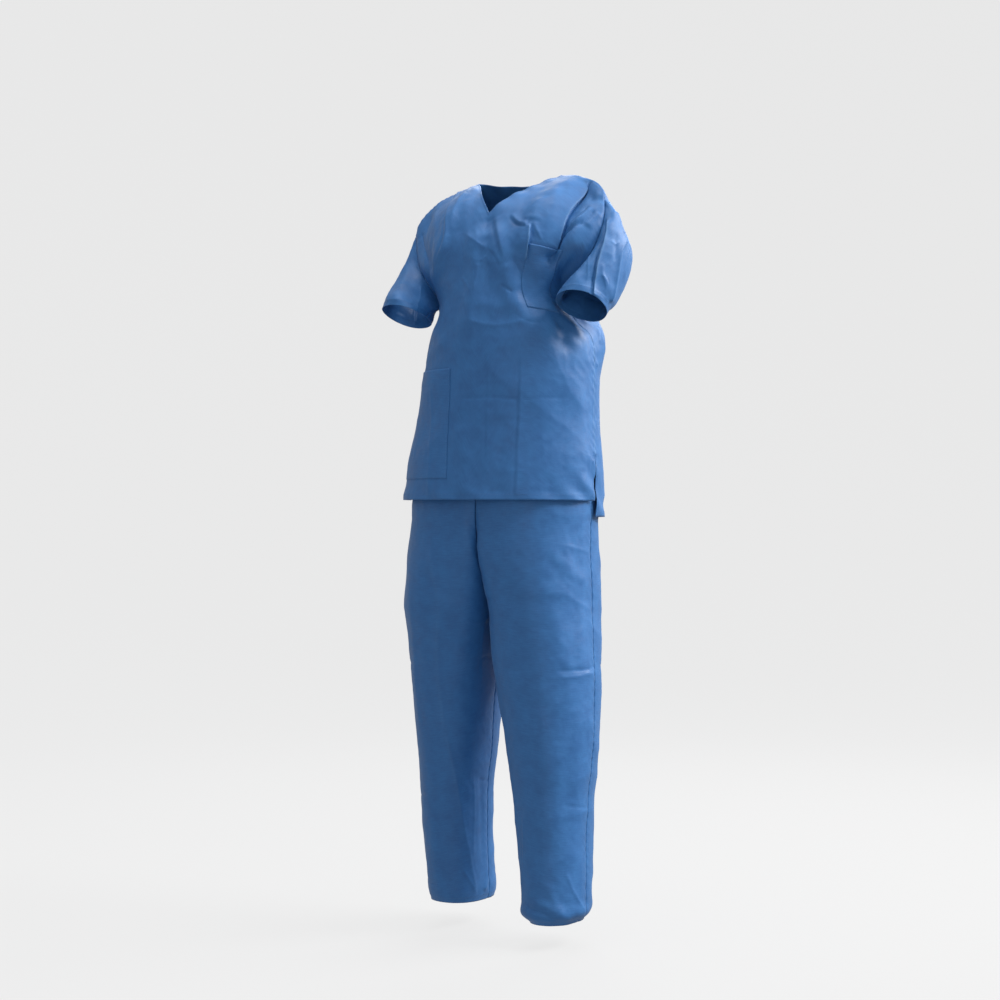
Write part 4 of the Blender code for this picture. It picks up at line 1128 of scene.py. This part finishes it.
# the flat width and length of each piece, and the share of that box its cloth fills
flatCuts = rowsOf(
    "name width length share",
    ("top_front", 0.57, 0.69, 0.83),
    ("top_back", 0.57, 0.69, 0.95),
    ("sleeve_left", 0.45, 0.22, 0.55),
    ("leg_front_left", 0.36, 0.95, 0.84),
    ("leg_back_left", 0.36, 0.95, 0.84),
    ("sleeve_right", 0.41, 0.18, 0.55),
    ("leg_front_right", 0.36, 0.95, 0.82),
    ("leg_back_right", 0.36, 0.95, 0.82),
    ("chest_pocket", 0.073, 0.13, 0.90),
    ("hip_pocket", 0.15, 0.212, 1.0),
    ("waistband", 0.93, 0.038, 1.0),
)

for cut in flatCuts:
    piece, sewing = pieces[cut["name"]], stitches[cut["name"]]
    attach(piece, "root")
    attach(sewing, "root")
    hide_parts(cut["name"])

floorLook = {"height": -1.509, "flatRadius": 3.4, "turnRadius": 3.0, "wall": 6.0, "turnSteps": 16}
floorLook.update(round=96, grey=0.05, glow=0.77, roughness=0.9, specular=0.1)


def makeStudio():
    # a round pale studio whose floor turns up into its wall
    bm = bmesh.new()
    line = [bm.verts.new((across, 0, floorLook["height"])) for across in (0, floorLook["flatRadius"])]
    turn = floorLook["turnRadius"]
    for k in range(1, floorLook["turnSteps"] + 1):
        angle = 0.5 * math.pi * k / floorLook["turnSteps"]
        across = floorLook["flatRadius"] + turn * math.sin(angle)
        line.append(bm.verts.new((across, 0, floorLook["height"] + turn * (1 - math.cos(angle)))))
    line.append(bm.verts.new((floorLook["flatRadius"] + turn, 0, floorLook["wall"])))
    edges = [bm.edges.new(pair) for pair in zip(line, line[1:])]
    bmesh.ops.spin(
        bm,
        geom=edges + line,
        cent=(0, 0, 0),
        axis=(0, 0, 1),
        angle=2 * math.pi,
        steps=floorLook["round"],
        use_merge=True,
        use_duplicate=False,
    )
    bmesh.ops.remove_doubles(bm, verts=bm.verts, dist=1e-5)
    bmesh.ops.recalc_face_normals(bm, faces=bm.faces[:])
    bmesh.ops.reverse_faces(bm, faces=bm.faces[:])
    mesh = bpy.data.meshes.new("studio")
    bm.to_mesh(mesh)
    bm.free()
    mesh.shade_smooth()
    material, _, shader = newMaterial("paleFloor")
    shader.inputs["Base Color"].default_value = (floorLook["grey"],) * 3 + (1,)
    shader.inputs["Roughness"].default_value = floorLook["roughness"]
    shader.inputs["Specular IOR Level"].default_value = floorLook["specular"]
    shader.inputs["Emission Color"].default_value = (1, 1, 1, 1)
    shader.inputs["Emission Strength"].default_value = floorLook["glow"]
    mesh.materials.append(material)
    studio = bpy.data.objects.new("studio", mesh)
    bpy.context.scene.collection.objects.link(studio)
    studio.visible_shadow = False
    studio.visible_diffuse = False
    studio.visible_glossy = False


makeStudio()

camera = {"azimuth": 25.0, "distance": 4.4, "aside": -0.02, "height": 0.86 - 1.509}
camera.update(lens=79.2, sensor=36.0)
eye = bpy.data.objects.new("eye", bpy.data.cameras.new("eye"))
bpy.context.scene.collection.objects.link(eye)
eye.data.sensor_width = camera["sensor"]
eye.data.lens = camera["lens"]
turn = math.radians(camera["azimuth"])
back = Vector((math.sin(turn), -math.cos(turn), 0))
aside = Vector((math.cos(turn), math.sin(turn), 0))
eye.location = back * camera["distance"] + aside * camera["aside"] + Vector((0, 0, camera["height"]))
eye.rotation_euler = (math.pi / 2, 0, turn)
bpy.context.scene.camera = eye

lamps = rowsOf(
    "name azimuth elevation distance width power",
    ("key", 100, 45, 5.2, 2.0, 230),
    ("top", 0, 85, 3.2, 1.6, 42),
    ("front", 20, 5, 5.2, 2.4, 16),
    ("side", 132, 28, 3.4, 1.6, 95),
    ("behind", 195, 30, 3.4, 2.0, 60),
)
aim = Vector((0, 0, -0.55))
for lamp in lamps:
    light = bpy.data.lights.new(lamp["name"], "AREA")
    light.size = lamp["width"]
    light.energy = lamp["power"]
    made = bpy.data.objects.new(lamp["name"], light)
    bpy.context.scene.collection.objects.link(made)
    a, e = math.radians(lamp["azimuth"]), math.radians(lamp["elevation"])
    way = Vector((math.sin(a) * math.cos(e), -math.cos(a) * math.cos(e), math.sin(e)))
    made.location = aim + way * lamp["distance"]
    made.rotation_euler = way.to_track_quat("Z", "Y").to_euler()

skyLook = {"colour": (0.95, 0.97, 1.0, 1.0), "strength": 0.45}
world = bpy.data.worlds.new("studio")
world.use_nodes = True
sky = world.node_tree.nodes["Background"]
sky.inputs["Color"].default_value = skyLook["colour"]
sky.inputs["Strength"].default_value = skyLook["strength"]
bpy.context.scene.world = world
bpy.context.scene.view_settings.view_transform = "Standard"

print("done")
